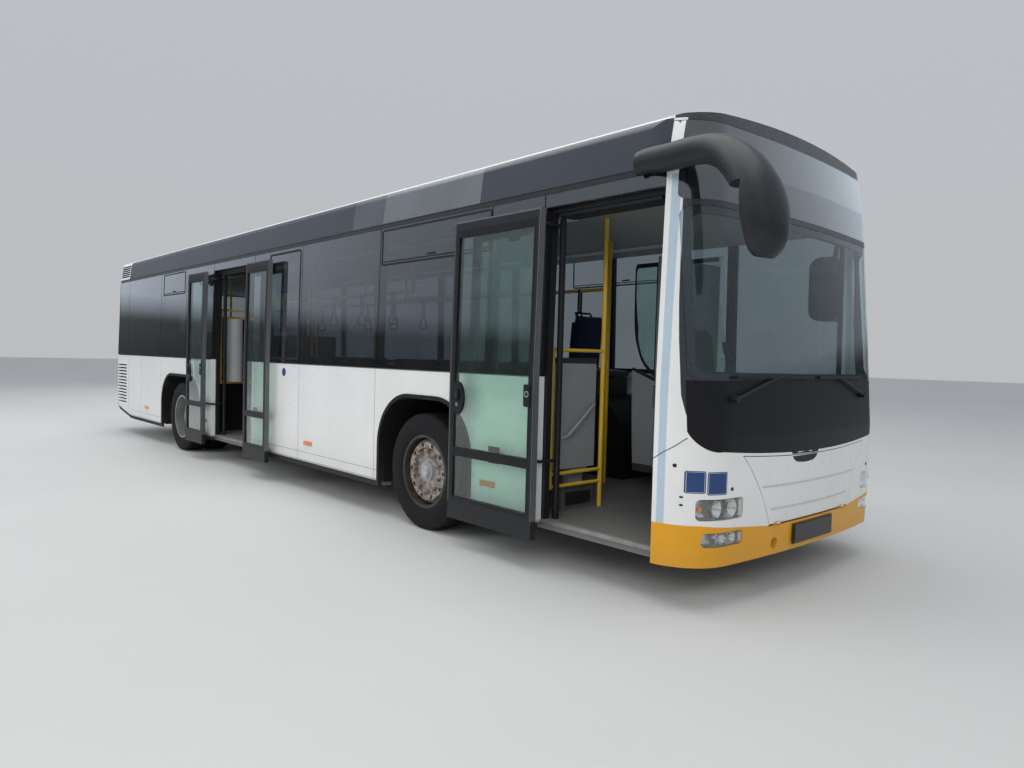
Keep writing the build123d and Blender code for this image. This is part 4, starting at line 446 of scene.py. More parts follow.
class Mesh:
    """Vertices and faces gathered from several forms, with a material for each."""

    def __init__(self):
        self.verts, self.faces, self.marks = [], [], []

    def add(self, verts, faces, mark=0):
        start = len(self.verts)
        self.verts += [Vector(v) for v in verts]
        self.faces += [[start + i for i in f] for f in faces]
        self.marks += [mark] * len(faces)

    def box(self, low, high, mark=0, soft=0.0, turn=None):
        low, high = Vector(low), Vector(high)
        bm = bmesh.new()
        bmesh.ops.create_cube(bm, size=1.0)
        bmesh.ops.scale(bm, vec=high - low, verts=bm.verts)
        if soft:
            bmesh.ops.bevel(bm, geom=bm.edges[:], offset=soft, segments=2, profile=0.6, affect="EDGES")
        if turn:
            bmesh.ops.transform(bm, matrix=turn, verts=bm.verts)
        bmesh.ops.translate(bm, vec=(low + high) / 2, verts=bm.verts)
        self.add([v.co.copy() for v in bm.verts], [[v.index for v in f.verts] for f in bm.faces], mark)
        bm.free()

    def fan(self, ring, centre, mark=0):
        """Triangles from a ring of points to a centre."""
        n = len(ring)
        self.add(ring + [centre], [[n, i, (i + 1) % n] for i in range(n)], mark)

    def side_box(self, side, xs, outs, zs, mark=0, soft=0.0):
        """Box on one side of the bus, from its distances off the middle."""
        ys = sorted(side * out for out in outs)
        self.box(*zip(xs, ys, zs), mark, soft)

    def rings(self, rings, mark=0, ends=True, wrap=False, closed=True):
        """Skin over rows of points; wrap joins the last row to the first, closed each row's ends."""
        rows, n = len(rings), len(rings[0])
        faces = []
        for i in range(rows if wrap else rows - 1):
            j = (i + 1) % rows
            for k in range(n if closed else n - 1):
                m = (k + 1) % n
                faces.append([i * n + k, i * n + m, j * n + m, j * n + k])
        if ends and not wrap:
            faces += [list(range(n))[::-1], [(rows - 1) * n + k for k in range(n)]]
        self.add([v for ring in rings for v in ring], faces, mark)

    def tube(self, points, radius, mark=0, sides=10, closed=False):
        """Round bar along points; radius may be one number or one for each point."""
        points = [Vector(p) for p in points]
        count = len(points)
        radii = radius if isinstance(radius, list) else [radius] * count
        rings, side = [], None
        for i, p in enumerate(points):
            before = points[i - 1] if (i or closed) else p
            after = points[(i + 1) % count] if (i + 1 < count or closed) else p
            ahead = (after - before).normalized()
            side = side or ahead.orthogonal().normalized()
            side = (side - ahead * side.dot(ahead)).normalized()
            across = ahead.cross(side)
            turns = [2 * math.pi * k / sides for k in range(sides)]
            rings.append([p + (side * math.cos(t) + across * math.sin(t)) * radii[i] for t in turns])
        self.rings(rings, mark, wrap=closed)

    def turned(self, profile, centre, axis, steps, mark):
        """Profile of (along, radius) turned round an axis through centre."""
        rows = []
        for i in range(steps):
            c, s = math.cos(2 * math.pi * i / steps), math.sin(2 * math.pi * i / steps)
            row = [{"X": (a, r * c, r * s), "Y": (r * c, a, r * s), "Z": (r * c, r * s, a)}[axis]
                   for a, r in profile]
            rows.append(from_place(centre, *row))
        self.rings(rows, mark, wrap=True, closed=False)

    def stud(self, profile, centre, way, steps=6, mark=0, axis="Y"):
        """Turned form that stands way along its axis, from a profile of (height, radius)."""
        self.turned([(0, 0.0)] + [(way * a, r) for a, r in profile], centre, axis, steps, mark)

    def make(self, name, mats, body="bus", slot="black_plastic", sharp=35.0, smooth=True):
        data = bpy.data.meshes.new(name)
        data.from_pydata(self.verts, [], self.faces)
        data.polygons.foreach_set("material_index", self.marks)
        bm = bmesh.new()
        bm.from_mesh(data)
        bmesh.ops.remove_doubles(bm, verts=bm.verts, dist=1e-6)
        bmesh.ops.recalc_face_normals(bm, faces=bm.faces)
        bm.to_mesh(data)
        bm.free()
        if smooth:
            data.shade_smooth()
            data.set_sharp_from_angle(angle=math.radians(sharp))
        for m in mats.split():
            data.materials.append(MATERIALS[m])
        obj = bpy.data.objects.new(name, data)
        bpy.context.scene.collection.objects.link(obj)
        if body:
            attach(obj, body)
        return obj


SINK = 0.0005  # how deep the rims of plates and strips reach into the skin


def skin_of(*names):
    """Search tree over the faces of CAD nodes, at rest."""
    verts, faces = [], []
    for name in names:
        obj = NODES[name]
        start = len(verts)
        verts += [obj.matrix_world @ v.co for v in obj.data.vertices]
        faces += [[start + i for i in p.vertices] for p in obj.data.polygons]
    return BVHTree.FromPolygons(verts, faces)


def on_skin(skin, side, a, b):
    """Point and outward normal of the skin, seen square on from a side at a across and b up."""
    start, way = {"front": ((9, a, b), (-1, 0, 0)), "rear": ((-9, a, b), (1, 0, 0)),
                  "right": ((a, -4, b), (0, 1, 0)), "left": ((a, 4, b), (0, -1, 0))}[side]
    hit, normal, _, _ = skin.ray_cast(Vector(start), Vector(way))
    if hit is None:
        return None, None
    return hit, normal if normal.dot(Vector(way)) < 0 else -normal


def circle(a, b, radius, steps):
    turns = [2 * math.pi * i / steps for i in range(steps)]
    return [(a + radius * math.cos(t), b + radius * math.sin(t)) for t in turns]


def rounded(a0, a1, b0, b1, radius):
    """Outline of a rectangle with round corners."""
    points = []
    a0, a1, b0, b1 = a0 + radius, a1 - radius, b0 + radius, b1 - radius
    for a, b, start in ((a1, b1, 0), (a0, b1, 90), (a0, b0, 180), (a1, b0, 270)):
        for i in range(7):
            turn = math.radians(start + 15 * i)
            points.append((a + radius * math.cos(turn), b + radius * math.sin(turn)))
    return points


def inset(a0, a1, b0, b1, by, radius):
    """Rounded rectangle drawn in by a distance."""
    return rounded(a0 + by, a1 - by, b0 + by, b1 - by, radius)


def divided(path, step):
    """Points of a path with its long stretches divided, without the last point."""
    result = []
    for (a0, b0), (a1, b1) in zip(path, path[1:]):
        parts = max(1, int(math.hypot(a1 - a0, b1 - b0) / step))
        result += [(a0 + (a1 - a0) * i / parts, b0 + (b1 - b0) * i / parts) for i in range(parts)]
    return result


def patch(mesh, skin, side, outline, lift, rings, mark=0, sink=SINK, dome=0.0, step=0.05):
    """Thin plate on the skin, edge lift high, middle dome higher; none where a ray finds no skin."""
    outline = divided(outline + outline[:1], step)
    n = len(outline)
    ca, cb = sum(p[0] for p in outline) / n, sum(p[1] for p in outline) / n
    rows = []
    for k in range(1, rings + 1):
        t = k / rings
        hits = [on_skin(skin, side, ca + (a - ca) * t, cb + (b - cb) * t) for a, b in outline]
        if None in [hit for hit, _ in hits]:
            return
        rows.append([hit + normal * (lift + dome * (1 - t * t)) for hit, normal in hits])
    rows.append([hit - normal * sink for hit, normal in hits])
    mesh.rings(rows, mark, ends=False)
    hit, normal = on_skin(skin, side, ca, cb)
    mesh.fan(rows[0], hit + normal * (lift + dome), mark)


def ribbon(mesh, skin, side, points, width, lift, step=0.04, closed=False):
    """Flat strip along a line on the skin, broken where there is no skin."""
    path = points + points[:1] if closed else points
    line = divided(path, step) + path[-1:]
    run = []
    for i, (a, b) in enumerate(line + [(None, None)]):
        row = []
        if a is not None:
            (pa, pb), (na, nb) = line[max(0, i - 1)], line[min(len(line) - 1, i + 1)]
            size = (math.hypot(na - pa, nb - pb) or 1.0) * 2 / width
            for s, heights in ((1, (-SINK, lift)), (-1, (lift, -SINK))):
                hit, normal = on_skin(skin, side, a - s * (nb - pb) / size, b + s * (na - pa) / size)
                row += [hit + normal * h for h in heights] if hit else []
        if len(row) == 4:
            run.append(row)
        else:
            if len(run) > 1:
                mesh.rings(run)
            run = []


# Camera, light and floor


# Backdrop by height of the ray: stops of the studio as it lights and shows, and as it is mirrored
SKY_STOPS = [(0.0, (0.5, 0.51, 0.52)), (1.0, (0.52, 0.55, 0.6)), (0.3, (0.5, 0.52, 0.55))]
MIRROR_STOPS = [(0.0, (0.03, 0.033, 0.036)), (1.0, (0.66, 0.72, 0.79)), (0.045, (0.05, 0.055, 0.06)),
                (0.075, (0.36, 0.4, 0.46)), (0.3, (0.58, 0.64, 0.71))]

# Lamps: name, place, target, size, power, colour
LAMPS = [
    ("top_softbox", (0, -2, 11), (0, 0, 0), (18, 9), 900, (1.0, 0.99, 0.97)),
    ("key_softbox", (13, -11, 7.5), (3, -1, 1.2), (8, 5), 560, (1.0, 0.98, 0.95)),
    ("side_softbox", (-7, -15, 7), (-2, -1, 1.2), (12, 5), 520, (0.97, 0.98, 1.0)),
    ("rear_softbox", (-15, 9, 8), (-4, 0, 1.2), (9, 5), 520, (0.98, 0.99, 1.0)),
]

# Camera as solved from the photograph: lens for a 36 mm wide frame, place, and its axes
LENS = 25.679
EYE = (7.95582, -4.71024, 1.43485)
EYE_AXES = ((0.6718728, 0.7402263, 0.0255333), (-0.0443999, 0.0058407, 0.9989968),
            (0.7393346, -0.6723324, 0.0367902))


def set_camera():
    scene = bpy.context.scene
    cam = bpy.data.cameras.new("camera")
    cam.sensor_width = 36.0
    cam.sensor_fit = "HORIZONTAL"
    cam.lens = LENS
    cam.clip_start, cam.clip_end = 0.05, 500.0
    eye = bpy.data.objects.new("camera", cam)
    pose = Matrix(EYE_AXES).transposed().to_4x4()
    pose.translation = EYE
    eye.matrix_world = pose
    scene.collection.objects.link(eye)
    scene.camera = eye
    scene.view_settings.view_transform = "Standard"


def set_world():
    """Even pale studio, with darker walls and a bright ceiling for what mirrors it."""
    world = bpy.data.worlds.new("studio")
    world.use_nodes = True
    tree = world.node_tree
    tree.nodes.clear()
    link = tree.links.new
    out, where, split, path, both = [tree.nodes.new("ShaderNode" + kind) for kind in (
        "OutputWorld", "TexCoord", "SeparateXYZ", "LightPath", "MixShader")]
    link(where.outputs["Generated"], split.inputs[0])
    for k, stops in enumerate((SKY_STOPS, MIRROR_STOPS), 1):
        ramp = tree.nodes.new("ShaderNodeValToRGB")
        sky = tree.nodes.new("ShaderNodeBackground")
        link(split.outputs[2], ramp.inputs[0])
        set_ramp(ramp.color_ramp, stops)
        link(ramp.outputs[0], sky.inputs[0])
        link(sky.outputs[0], both.inputs[k])
    link(path.outputs["Is Glossy Ray"], both.inputs[0])
    link(both.outputs[0], out.inputs[0])
    bpy.context.scene.world = world


def set_stage():
    ground = Mesh()
    ground.add([(-90, -90, 0), (90, -90, 0), (90, 90, 0), (-90, 90, 0)], [[0, 1, 2, 3]])
    ground.make("floor", "floor_pale", body=None, smooth=False)
    for name, place, target, size, power, colour in LAMPS:
        light = bpy.data.lights.new(name, "AREA")
        light.shape = "RECTANGLE"
        light.size, light.size_y = size
        light.energy = power
        light.color = colour
        obj = bpy.data.objects.new(name, light)
        obj.location = place
        obj.rotation_euler = (Vector(target) - Vector(place)).to_track_quat("-Z", "Y").to_euler()
        obj.visible_glossy = name == "top_softbox"
        bpy.context.scene.collection.objects.link(obj)


make_materials()
set_camera()
set_world()
set_stage()


# Wheels


# Side of a road tyre from its bead up: offset from its middle, radius (at most the axle's height)
TYRE_SIDE = [(-0.112, 0.2915), (-0.1195, 0.298), (-0.1255, 0.312), (-0.1262, 0.32), (-0.1302, 0.322),
             (-0.1335, 0.345), (-0.1355, 0.347), (-0.1368, 0.372), (-0.1368, 0.396), (-0.1345, 0.398),
             (-0.134, 0.42), (-0.1322, 0.422), (-0.1295, 0.444), (-0.1262, 0.455), (-0.1235, 0.466),
             (-0.116, 0.4735), (-0.104, AXLE_Z - 0.0006)]
GROOVES = (-0.075, -0.026, 0.026, 0.075)
GROOVE_DEPTH = 0.012


def tyre_mesh(mesh, x, y_mid, flip):
    """Ribbed tyre: four grooves in zigzag, and notches over its shoulders."""
    steps = 192
    rows = []
    for i in range(steps):
        turn = 2 * math.pi * i / steps
        tread = []
        for groove in GROOVES:
            c = groove + (0.004 if (i // 4) % 2 else -0.004)
            tread += [(c + a, AXLE_Z - d) for a, d in
                      ((-0.0065, 0.0), (-0.0045, GROOVE_DEPTH), (0.0045, GROOVE_DEPTH), (0.0065, 0.0))]
        profile = TYRE_SIDE + tread + [(-a, r) for a, r in reversed(TYRE_SIDE)]
        row = []
        for k, (a, r) in enumerate(profile):
            if i % 6 == 0 and 13 <= min(k, len(profile) - 1 - k) <= 16:
                r -= 0.006
            row.append((x + r * math.cos(turn), y_mid + flip * a, AXLE_Z + r * math.sin(turn)))
        rows.append(row)
    mesh.rings(rows, wrap=True)


def bolt_ring(mesh, x, y, side, radius, first, profile):
    """Ten bolts round an axle, the first one turned by a share of their spacing."""
    for i in range(10):
        turn = 2 * math.pi * (i + first) / 10
        mesh.stud(profile, (x + radius * math.cos(turn), side * y, AXLE_Z + radius * math.sin(turn)), side)


def dress_wheels():
    """Treaded tyres, nuts, flange bolts and caps of the hubs, valves."""
    mid = TYRE_MID
    axles = (("front", FRONT_AXLE, "tyre", (mid,)), ("rear", REAR_AXLE, "tyres", (mid, mid - TWIN_STEP)))
    for side, tag in SIDES:
        for axle, behind, stem, offsets in axles:
            tyre = Mesh()
            for y in offsets:
                tyre_mesh(tyre, at(behind), side * y, side)
            tread = tyre.make(f"tread_{axle}_{tag}", "tyre_rubber", f"wheel_{axle}_{tag}", "tyre", 28)
            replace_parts(tread, f"{stem}_{axle}_{tag}")
        hub, x = Mesh(), at(FRONT_AXLE)
        bolt_ring(hub, x, mid + 0.094, side, 0.1675, 0.5,
                  [(0, 0.0165), (0.01, 0.0165), (0.012, 0.0125), (0.019, 0.0115), (0.021, 0.0)])
        bolt_ring(hub, x, mid + 0.0955, side, 0.068, 0, [(0, 0.007), (0.005, 0.0065), (0.006, 0.0)])
        hub.stud([(0, 0.05), (0.008, 0.047), (0.014, 0.036), (0.016, 0.0)],
                 (x, side * (mid + 0.1115), AXLE_Z), side, 32, 1)
        valve = from_place((x, side * mid, AXLE_Z), (0.235, side * 0.05, 0.03), (0.225, side * 0.085, 0.02),
                           (0.222, side * 0.102, 0.018))
        hub.tube(valve, [0.005, 0.005, 0.006], 1, 8)
        hub.make(f"hub_bolts_front_{tag}", "rim_rusty aluminium", f"wheel_front_{tag}", "rim_steel")
        hub, x = Mesh(), at(REAR_AXLE)
        bolt_ring(hub, x, mid - 0.0925, side, 0.1675, 0.5,
                  [(0, 0.016), (0.012, 0.0155), (0.016, 0.01), (0.017, 0.0)])
        bolt_ring(hub, x, mid + 0.0395, side, 0.092, 0, [(0, 0.0085), (0.006, 0.008), (0.007, 0.0)])
        hub.stud([(0, 0.072), (0.01, 0.068), (0.014, 0.05), (0.015, 0.0)],
                 (x, side * (mid + 0.0615), AXLE_Z), side, 32)
        hub.make(f"hub_bolts_rear_{tag}", "rim_silver", f"wheel_rear_{tag}", "rim_steel")


dress_wheels()


# Seats


def pad(width, depth, thick, crown, channels):
    """Stuffed pad lying flat: crowned on top, its sides pulled in between the corners.

    channels: sewn lines, as their place from -1 to 1 and whether they run across."""
    nu, nv = 14, 16
    top, bottom = [], []
    for j in range(nv + 1):
        for i in range(nu + 1):
            u, v = -1 + 2 * i / nu, -1 + 2 * j / nv
            pull = 0.022 * (1 - u * u) * abs(v) ** 6
            draw = 0.02 * (1 - v * v) * abs(u) ** 6
            x = u * (width / 2) * (1 - draw) * (1 - 0.04 * abs(v) ** 8)
            y = v * (depth / 2) * (1 - pull) * (1 - 0.04 * abs(u) ** 8)
            swell = thick * 0.5 * ((1 - abs(u) ** 8) * (1 - abs(v) ** 8)) ** 0.4
            z = swell + crown * (1 - u * u) * (1 - v * v)
            for place, across in channels:
                z -= 0.006 * math.exp(-(((v if across else u) - place) / 0.035) ** 2)
            z += 0.0015 * noise.noise(Vector((x * 9, y * 9, width)))
            top.append(Vector((x, y, z)))
            bottom.append(Vector((x, y, -swell)))
    rim, total = nu + 1, len(top)
    faces = []
    for j in range(nv):
        for a in range(j * rim, j * rim + nu):
            faces.append([a, a + 1, a + rim + 1, a + rim])
            faces.append([total + a, total + a + rim, total + a + rim + 1, total + a + 1])
    border = list(range(rim)) + [j * rim + nu for j in range(1, nv + 1)]
    border += [nv * rim + i for i in range(nu - 1, -1, -1)] + [j * rim for j in range(nv - 1, 0, -1)]
    faces += [[a, total + a, total + b, b] for a, b in zip(border, border[1:] + border[:1])]
    return top + bottom, faces


def lay(mesh, form, place, tilt=0.0):
    """Pad at a place, turned to look forward and tilted back."""
    turn = Matrix.Rotation(math.radians(tilt), 4, "Y") @ Matrix.Rotation(math.radians(90), 4, "Z")
    matrix = Matrix.Translation(place) @ turn
    mesh.add([matrix @ v for v in form[0]], form[1])


# Benches: metres behind the front of the back's rear face, side, floor height
BENCHES = [(b, 1, FLOOR) for b in (3.9, 4.72, 5.54, 7.0)] + [(b, -1, FLOOR) for b in (4.72, 5.54)]
BENCHES += [(b, side, REAR_FLOOR) for side in (1, -1) for b in (8.56, 9.4, 10.2)]
BENCHES += [(11.5, side, BENCH_FLOOR) for side in (1, -1)]
SEAT_IN, SEAT_WIDE = 0.33, 0.402
# Shell of a seat from the side: ahead of the back's rear face, above the base
SHELL = [(0.43, 0.002), (0.466, 0.012), (0.468, 0.03), (0.44, 0.016), (0.09, 0.014), (0.056, 0.04),
         (0.03, 0.33), (0.02, 0.612), (0.004, 0.616), (0.014, 0.33), (0.034, 0.02), (0.06, 0.0)]
BACK_SEAMS = [(-0.6, False), (0.6, False), (0.35, True), (-0.3, True)]


def dress_seats():
    pan = pad(0.376, 0.372, 0.044, 0.01, [(-0.55, False), (0.55, False), (0.45, True)])
    back = pad(0.376, 0.535, 0.03, 0.009, BACK_SEAMS)
    shells = Mesh()
    for number, (behind, side, floor) in enumerate(BENCHES, 1):
        x, base = at(behind), floor + 0.43
        legs = floor != BENCH_FLOOR
        pads = Mesh()
        for seat in range(2):
            y = side * (SEAT_IN + seat * (SEAT_WIDE + 0.016) + SEAT_WIDE / 2)
            if not legs and abs(y) > 0.85:
                y = side * (abs(y) - 0.01)
            lay(pads, pan, (x + 0.272, y, base + 0.036), -2.0)
            lay(pads, back, (x + 0.058, y, base + 0.335), 94.5)
            w = SEAT_WIDE / 2 - 0.003
            shells.rings([[(x + a, y + s * w, base + b) for a, b in SHELL] for s in (-1, 1)])
            if seat == 0 and legs:
                grip = from_place((x, y - side * (w - 0.03), base), (0.012, 0, 0.56), (0.006, 0, 0.607),
                                  (0.01, side * 0.04, 0.613), (0.01, side * 0.12, 0.613))
                shells.tube(grip, 0.008, 1, 8)
        if legs:
            leg = side * (SEAT_IN + 0.1425)
            shells.tube([(x + 0.24, leg, floor + 0.002), (x + 0.24, leg, base)], 0.026, 2, 14)
            shells.stud([(0, 0.07), (0.006, 0.068), (0.012, 0.03), (0.013, 0.0)],
                        (x + 0.24, leg, floor + 0.001), 1, 24, 2, "Z")
            shells.side_box(side, (x + 0.13, x + 0.39), (0.395, 1.19), (base - 0.008, base + 0.006), 2, 0.003)
        cushions = pads.make(f"bench_cushions_{number}", "fabric_blue", slot="seat_fabric", sharp=70)
    frames = shells.make("bench_shells", "plastic_matt rail_paint plastic_grey", slot="seat_fabric")
    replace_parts(frames, "passenger_seats")


def box_seat():
    """Single seat on the left front wheel box, seen over the screen by the door."""
    x, y, base = at(2.86), 0.86, 1.3
    pads = Mesh()
    lay(pads, pad(0.43, 0.4, 0.06, 0.012, [(-0.55, False), (0.55, False)]), (x + 0.27, y, base))
    lay(pads, pad(0.43, 0.56, 0.05, 0.012, BACK_SEAMS), (x + 0.05, y, base + 0.29), 95)
    cushions = pads.make("box_seat_cushions", "fabric_blue", slot="seat_fabric", sharp=70)
    shell = Mesh()
    shell.box((x + 0.09, y - 0.19, 1.085), (x + 0.43, y + 0.19, base - 0.034), 0, 0.02)
    shell.box((x - 0.012, y - 0.2, base - 0.02), (x + 0.018, y + 0.2, base + 0.5), 0, 0.012,
              Matrix.Rotation(math.radians(5), 4, "Y"))
    shell.tube(from_place((x, y, base), (0.01, -0.12, 0.54), (-0.02, -0.11, 0.6), (-0.02, 0.11, 0.6),
                          (0.01, 0.12, 0.54)), 0.011)
    shell.make("box_seat_frame", "plastic_matt", slot="seat_fabric", sharp=40)


def dress_driver_seat():
    x, y = at(1.35), 0.66
    pads = Mesh()
    lay(pads, pad(0.46, 0.455, 0.1, 0.016, [(-0.5, False), (0.5, False)]), (x + 0.245, y, 1.01))
    seams = [(-0.55, False), (0.55, False), (0.45, True)]
    lay(pads, pad(0.45, 0.72, 0.085, 0.014, seams), (x, y, 1.36), 82)
    cushions = pads.make("driver_cushions", "fabric_dark", slot="driver_fabric", sharp=70)
    base = Mesh()
    base.stud([(0, 0.115), (0.03, 0.11), (0.3, 0.09), (0.36, 0.11), (0.4, 0.11), (0.4, 0.0)],
              (x + 0.23, y, 0.561), 1, 32, 0, "Z")
    base.box((x + 0.03, y - 0.2, 0.945), (x + 0.45, y + 0.2, 0.965), 0, 0.006)
    base.box((x - 0.045, y - 0.06, 0.95), (x + 0.05, y + 0.06, 1.12), 0, 0.012)
    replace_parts(base.make("driver_seat_base", "plastic_black"), "driver_seat")


# Front face


FRONT_SKIN = skin_of("front_mask", "front_bumper", "front_flap", "windscreen_panel", "windscreen",
                     "destination_glass")
BODY_SKIN = skin_of("side_wall_right", "side_wall_left", "side_glass", "cove_panels", "front_mask",
                    "rear_wall", "front_bumper")
# Blank signs: outline across and up, height over the skin, rings of points
SQUARES = ((-1.195, -1.109, 0.687, 0.815, 0.0016, 9), (-1.101, -0.977, 0.677, 0.809, 0.0014, 7))
BULB = [(-0.03, 0.0), (-0.03, 0.006), (-0.012, 0.0065), (-0.006, 0.004), (-0.005, 0.0)]
# Front lamps: outline outward and up, and the place and radius of each reflector
LAMP_TUBS = ((0.818, 1.152, 0.528, 0.652, ((0.905, 0.052), (1.03, 0.05))),
             (0.812, 1.12, 0.372, 0.456, ((0.89, 0.034), (0.985, 0.034))))


def dress_front():
    """Signs left blank, plugs, ribs of the flap with painted shade, joints, grip notch of painted shade and
    tops of the pillars.
    """
    blue, rims, dark, shade, lip, pillar, ribs, joints = [Mesh() for _ in range(8)]
    for a0, a1, b0, b1, lift, count in SQUARES:
        patch(blue, FRONT_SKIN, "front", rounded(a0, a1, b0, b1, 0.01), lift, rings=count, step=0.012)
        line = inset(a0, a1, b0, b1, 0.006, 0.007)
        ribbon(rims, FRONT_SKIN, "front", line, 0.0022, 0.0021, 0.01, closed=True)
    blue.make("blank_squares", "sign_blue", slot="dark_panel")
    rims.make("square_borders", "plastic_pale", slot="body_white")
    for y, z, r in ((-0.931, 0.705, 0.011), (-1.202, 0.663, 0.006), (-1.202, 0.617, 0.006)):
        for side in (1, -1):
            patch(dark, FRONT_SKIN, "front", circle(side * y, z, r, 16), 0.003, rings=2, dome=0.002)
    for _, name in SIDES:
        patch(dark, BODY_SKIN, name, circle(at(0.245), 0.841, 0.011, 16), 0.003, rings=2, dome=0.002)
    dark.make("front_plugs", "plastic_black")
    flap = skin_of("front_flap")
    # Grip notch: flat black patches on the flap and on the mask above it, painted shade of the recess.
    patch(shade, flap, "front", [(-0.3, 0.8545), (0.03, 0.8545), (0.012, 0.834), (-0.03, 0.816), (-0.1, 0.81),
                                 (-0.17, 0.81), (-0.24, 0.816), (-0.282, 0.834)], 0.001, rings=4)
    shade.make("grip_notch", "rubber_black", "front_flap", "body_white")
    patch(lip, skin_of("front_mask", "windscreen_panel"), "front",
          [(-0.3145, 0.886), (0.0445, 0.886), (0.0315, 0.8645), (-0.3015, 0.8685)], 0.001, rings=6)
    lip.make("grip_notch_top", "rubber_black", slot="body_white")
    screen = skin_of("destination_glass", "front_mask")
    for _, name in SIDES:
        line = along([(0.3735, 2.368), (0.311, 2.368), (0.3165, 2.826), (0.3735, 2.826)])
        patch(pillar, screen, name, line, 0.0015, rings=4)
        line = along([(0.186, 1.002), (0.247, 0.952), (0.313, 0.911), (0.372, 0.871)])
        ribbon(joints, BODY_SKIN, name, line, 0.0045, 0.0012, 0.012)
    pillar.make("pillar_tops", "mask_paint", slot="body_white")
    # Ribs of the flap in a darker grey than its paint: painted shade of the creases.
    for z, half in ((0.683, 0.63), (0.54, 0.53)):
        line = [(-half, z + 0.006), (-half * 0.5, z), (half * 0.5, z), (half, z + 0.006)]
        ribbon(ribs, flap, "front", line, 0.012, 0.003)
    ribs.make("flap_ribs", "crease_painted_shade", "front_flap", "body_white")
    joints.make("corner_joints", "joints_and_shade_dark")


def dress_lamps():
    """Front lamps: dull tub, bright reflectors with bulbs, and a clear cover in the body's skin."""
    skin = skin_of("front_lamps")
    inside, cover = Mesh(), Mesh()
    for side in (-1, 1):
        for out0, out1, z0, z1, reflectors in LAMP_TUBS:
            y0, y1 = sorted((side * out0, side * out1))
            mid_y, mid_z = (y0 + y1) / 2, (z0 + z1) / 2
            patch(cover, skin, "front", inset(y0, y1, z0, z1, 0.001, 0.024), -0.0005, rings=6, sink=0.004)
            rim = inset(y0, y1, z0, z1, 0.006, 0.02)
            front, back = [], []
            for a, b in divided(rim + rim[:1], 0.03):
                x = on_skin(skin, "front", a, b)[0].x
                front.append(Vector((x - 0.006, a, b)))
                back.append(Vector((x - 0.05, a + (mid_y - a) * 0.08, b + (mid_z - b) * 0.12)))
            inside.rings([front, back], ends=False)
            inside.fan(back, sum(back, Vector()) / len(back))
            for out, r in reflectors:
                centre = (on_skin(skin, "front", side * out, mid_z)[0].x - 0.014, side * out, mid_z)
                bowl = [(0.034 * ((i / 8) ** 2 - 1), max(r * i / 8, 0.0005)) for i in range(9)]
                inside.turned(bowl, centre, "X", 32, 1)
                inside.turned(BULB, centre, "X", 12, 2)
            if z0 > 0.5:
                x = on_skin(skin, "front", side * 1.11, 0.59)[0].x
                inside.turned([(-0.03, 0.0), (-0.02, 0.016), (0.0, 0.018), (0.008, 0.01), (0.01, 0.0)],
                              (x - 0.03, side * 1.11, 0.59), "X", 16, 3)
    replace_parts(cover.make("lamp_covers", "lamp_cover", slot="lamp_clear", sharp=40), "front_lamps")
    inside.make("lamp_insides", "chrome_dull chrome plastic_pale amber", slot="lamp_clear")


# Sides


def level(mesh, skin, name, b0, b1, z, width, lift):
    """Level ribbon between two places along the bus."""
    ribbon(mesh, skin, name, along([(b0, z), (b1, z)]), width, lift)


def dress_sides():
    """Joints of the skirt panels, frames of the opening panes, black strip as painted shadow in the groove
    under the cove, blank disc, door sills.
    """
    seams, frames, shadow_line, disc, sills = [Mesh() for _ in range(5)]
    for side, name in SIDES:
        left = side > 0
        walls = skin_of(f"side_wall_{name}")
        glass = skin_of("side_glass", f"side_wall_{name}")
        for behind in [3.42, 4.9, 7.48, 9.42, 10.42, 11.12] + [1.42, 6.35] * left:
            ribbon(seams, walls, name, along([(behind, 0.325), (behind, 1.3)]), 0.0035, 0.0004)
        level(seams, walls, name, 0.38 if left else 1.345, 11.69, 1.305, 0.006, 0.0012)
        for b0, b1 in [(3.335, 6.09), (9.35, 10.96)] + [(0.38, 2.06)] * left:
            level(seams, walls, name, b0, b1, 0.405, 0.003, 0.0004)
        for b0, b1 in [(1.885, 3.389), (8.43, 9.388)] + [(4.33, 5.73), (5.82, 7.22)] * left:
            line = rounded(at(b1) + 0.02, at(b0) - 0.02, 2.211, 2.508, 0.02)
            ribbon(frames, glass, name, line, 0.016, 0.003, closed=True)
            level(frames, glass, name, b1 - 0.03, b0 + 0.03, 2.235, 0.01, 0.0035)
            x, y, _ = on_skin(glass, name, at((b0 + b1) / 2), 2.26)[0]
            out = side * y
            frames.side_box(side, (x - 0.05, x + 0.05), (out, out + 0.006), (2.248, 2.264), 0, 0.002)
        if not left:
            line = rounded(at(5.668), at(4.94), 1.36, 2.49, 0.03)
            ribbon(frames, glass, name, line, 0.022, 0.002, closed=True)
        # Black strip along the groove between cove and wall: painted shadow of the groove.
        shadow_line.tube([(at(b), side * 1.2255, 2.569) for b in (0.38, 3.0, 6.0, 9.0, 11.69)], 0.0045, 0, 8)
    seams.make("panel_joints", "joints_and_shade_dark")
    frames.make("vent_frames", "plastic_black")
    shadow_line.make("groove_shadow_strip", "rubber_black")
    patch(disc, BODY_SKIN, "right", circle(at(5.254), 1.213, 0.044, 32), 0.0012, rings=3)
    disc.make("blank_disc", "sign_blue", slot="dark_panel")
    for x0, x1 in ((at(1.33), at(0.385)), (at(7.35), at(6.11))):
        sills.box((x0, -1.1945, 0.3295), (x1, -1.162, 0.3345), 0, 0.0012)
        for k in range(3):
            y = -1.188 + k * 0.009
            sills.box((x0 + 0.003, y, 0.3335), (x1 - 0.003, y + 0.003, 0.3352))
        sills.box((x0, -1.2, 0.306), (x1, -1.1935, 0.3335), 0, 0.001)
    sills.make("door_sills", "sill_metal", slot="grey_plastic")


# Section of the skirt strip: in from the wall, down from its edge
STRIP_SECTION = ((0.006, 0.0485), (0.006, 0), (0.03, 0), (0.03, 0.0485))


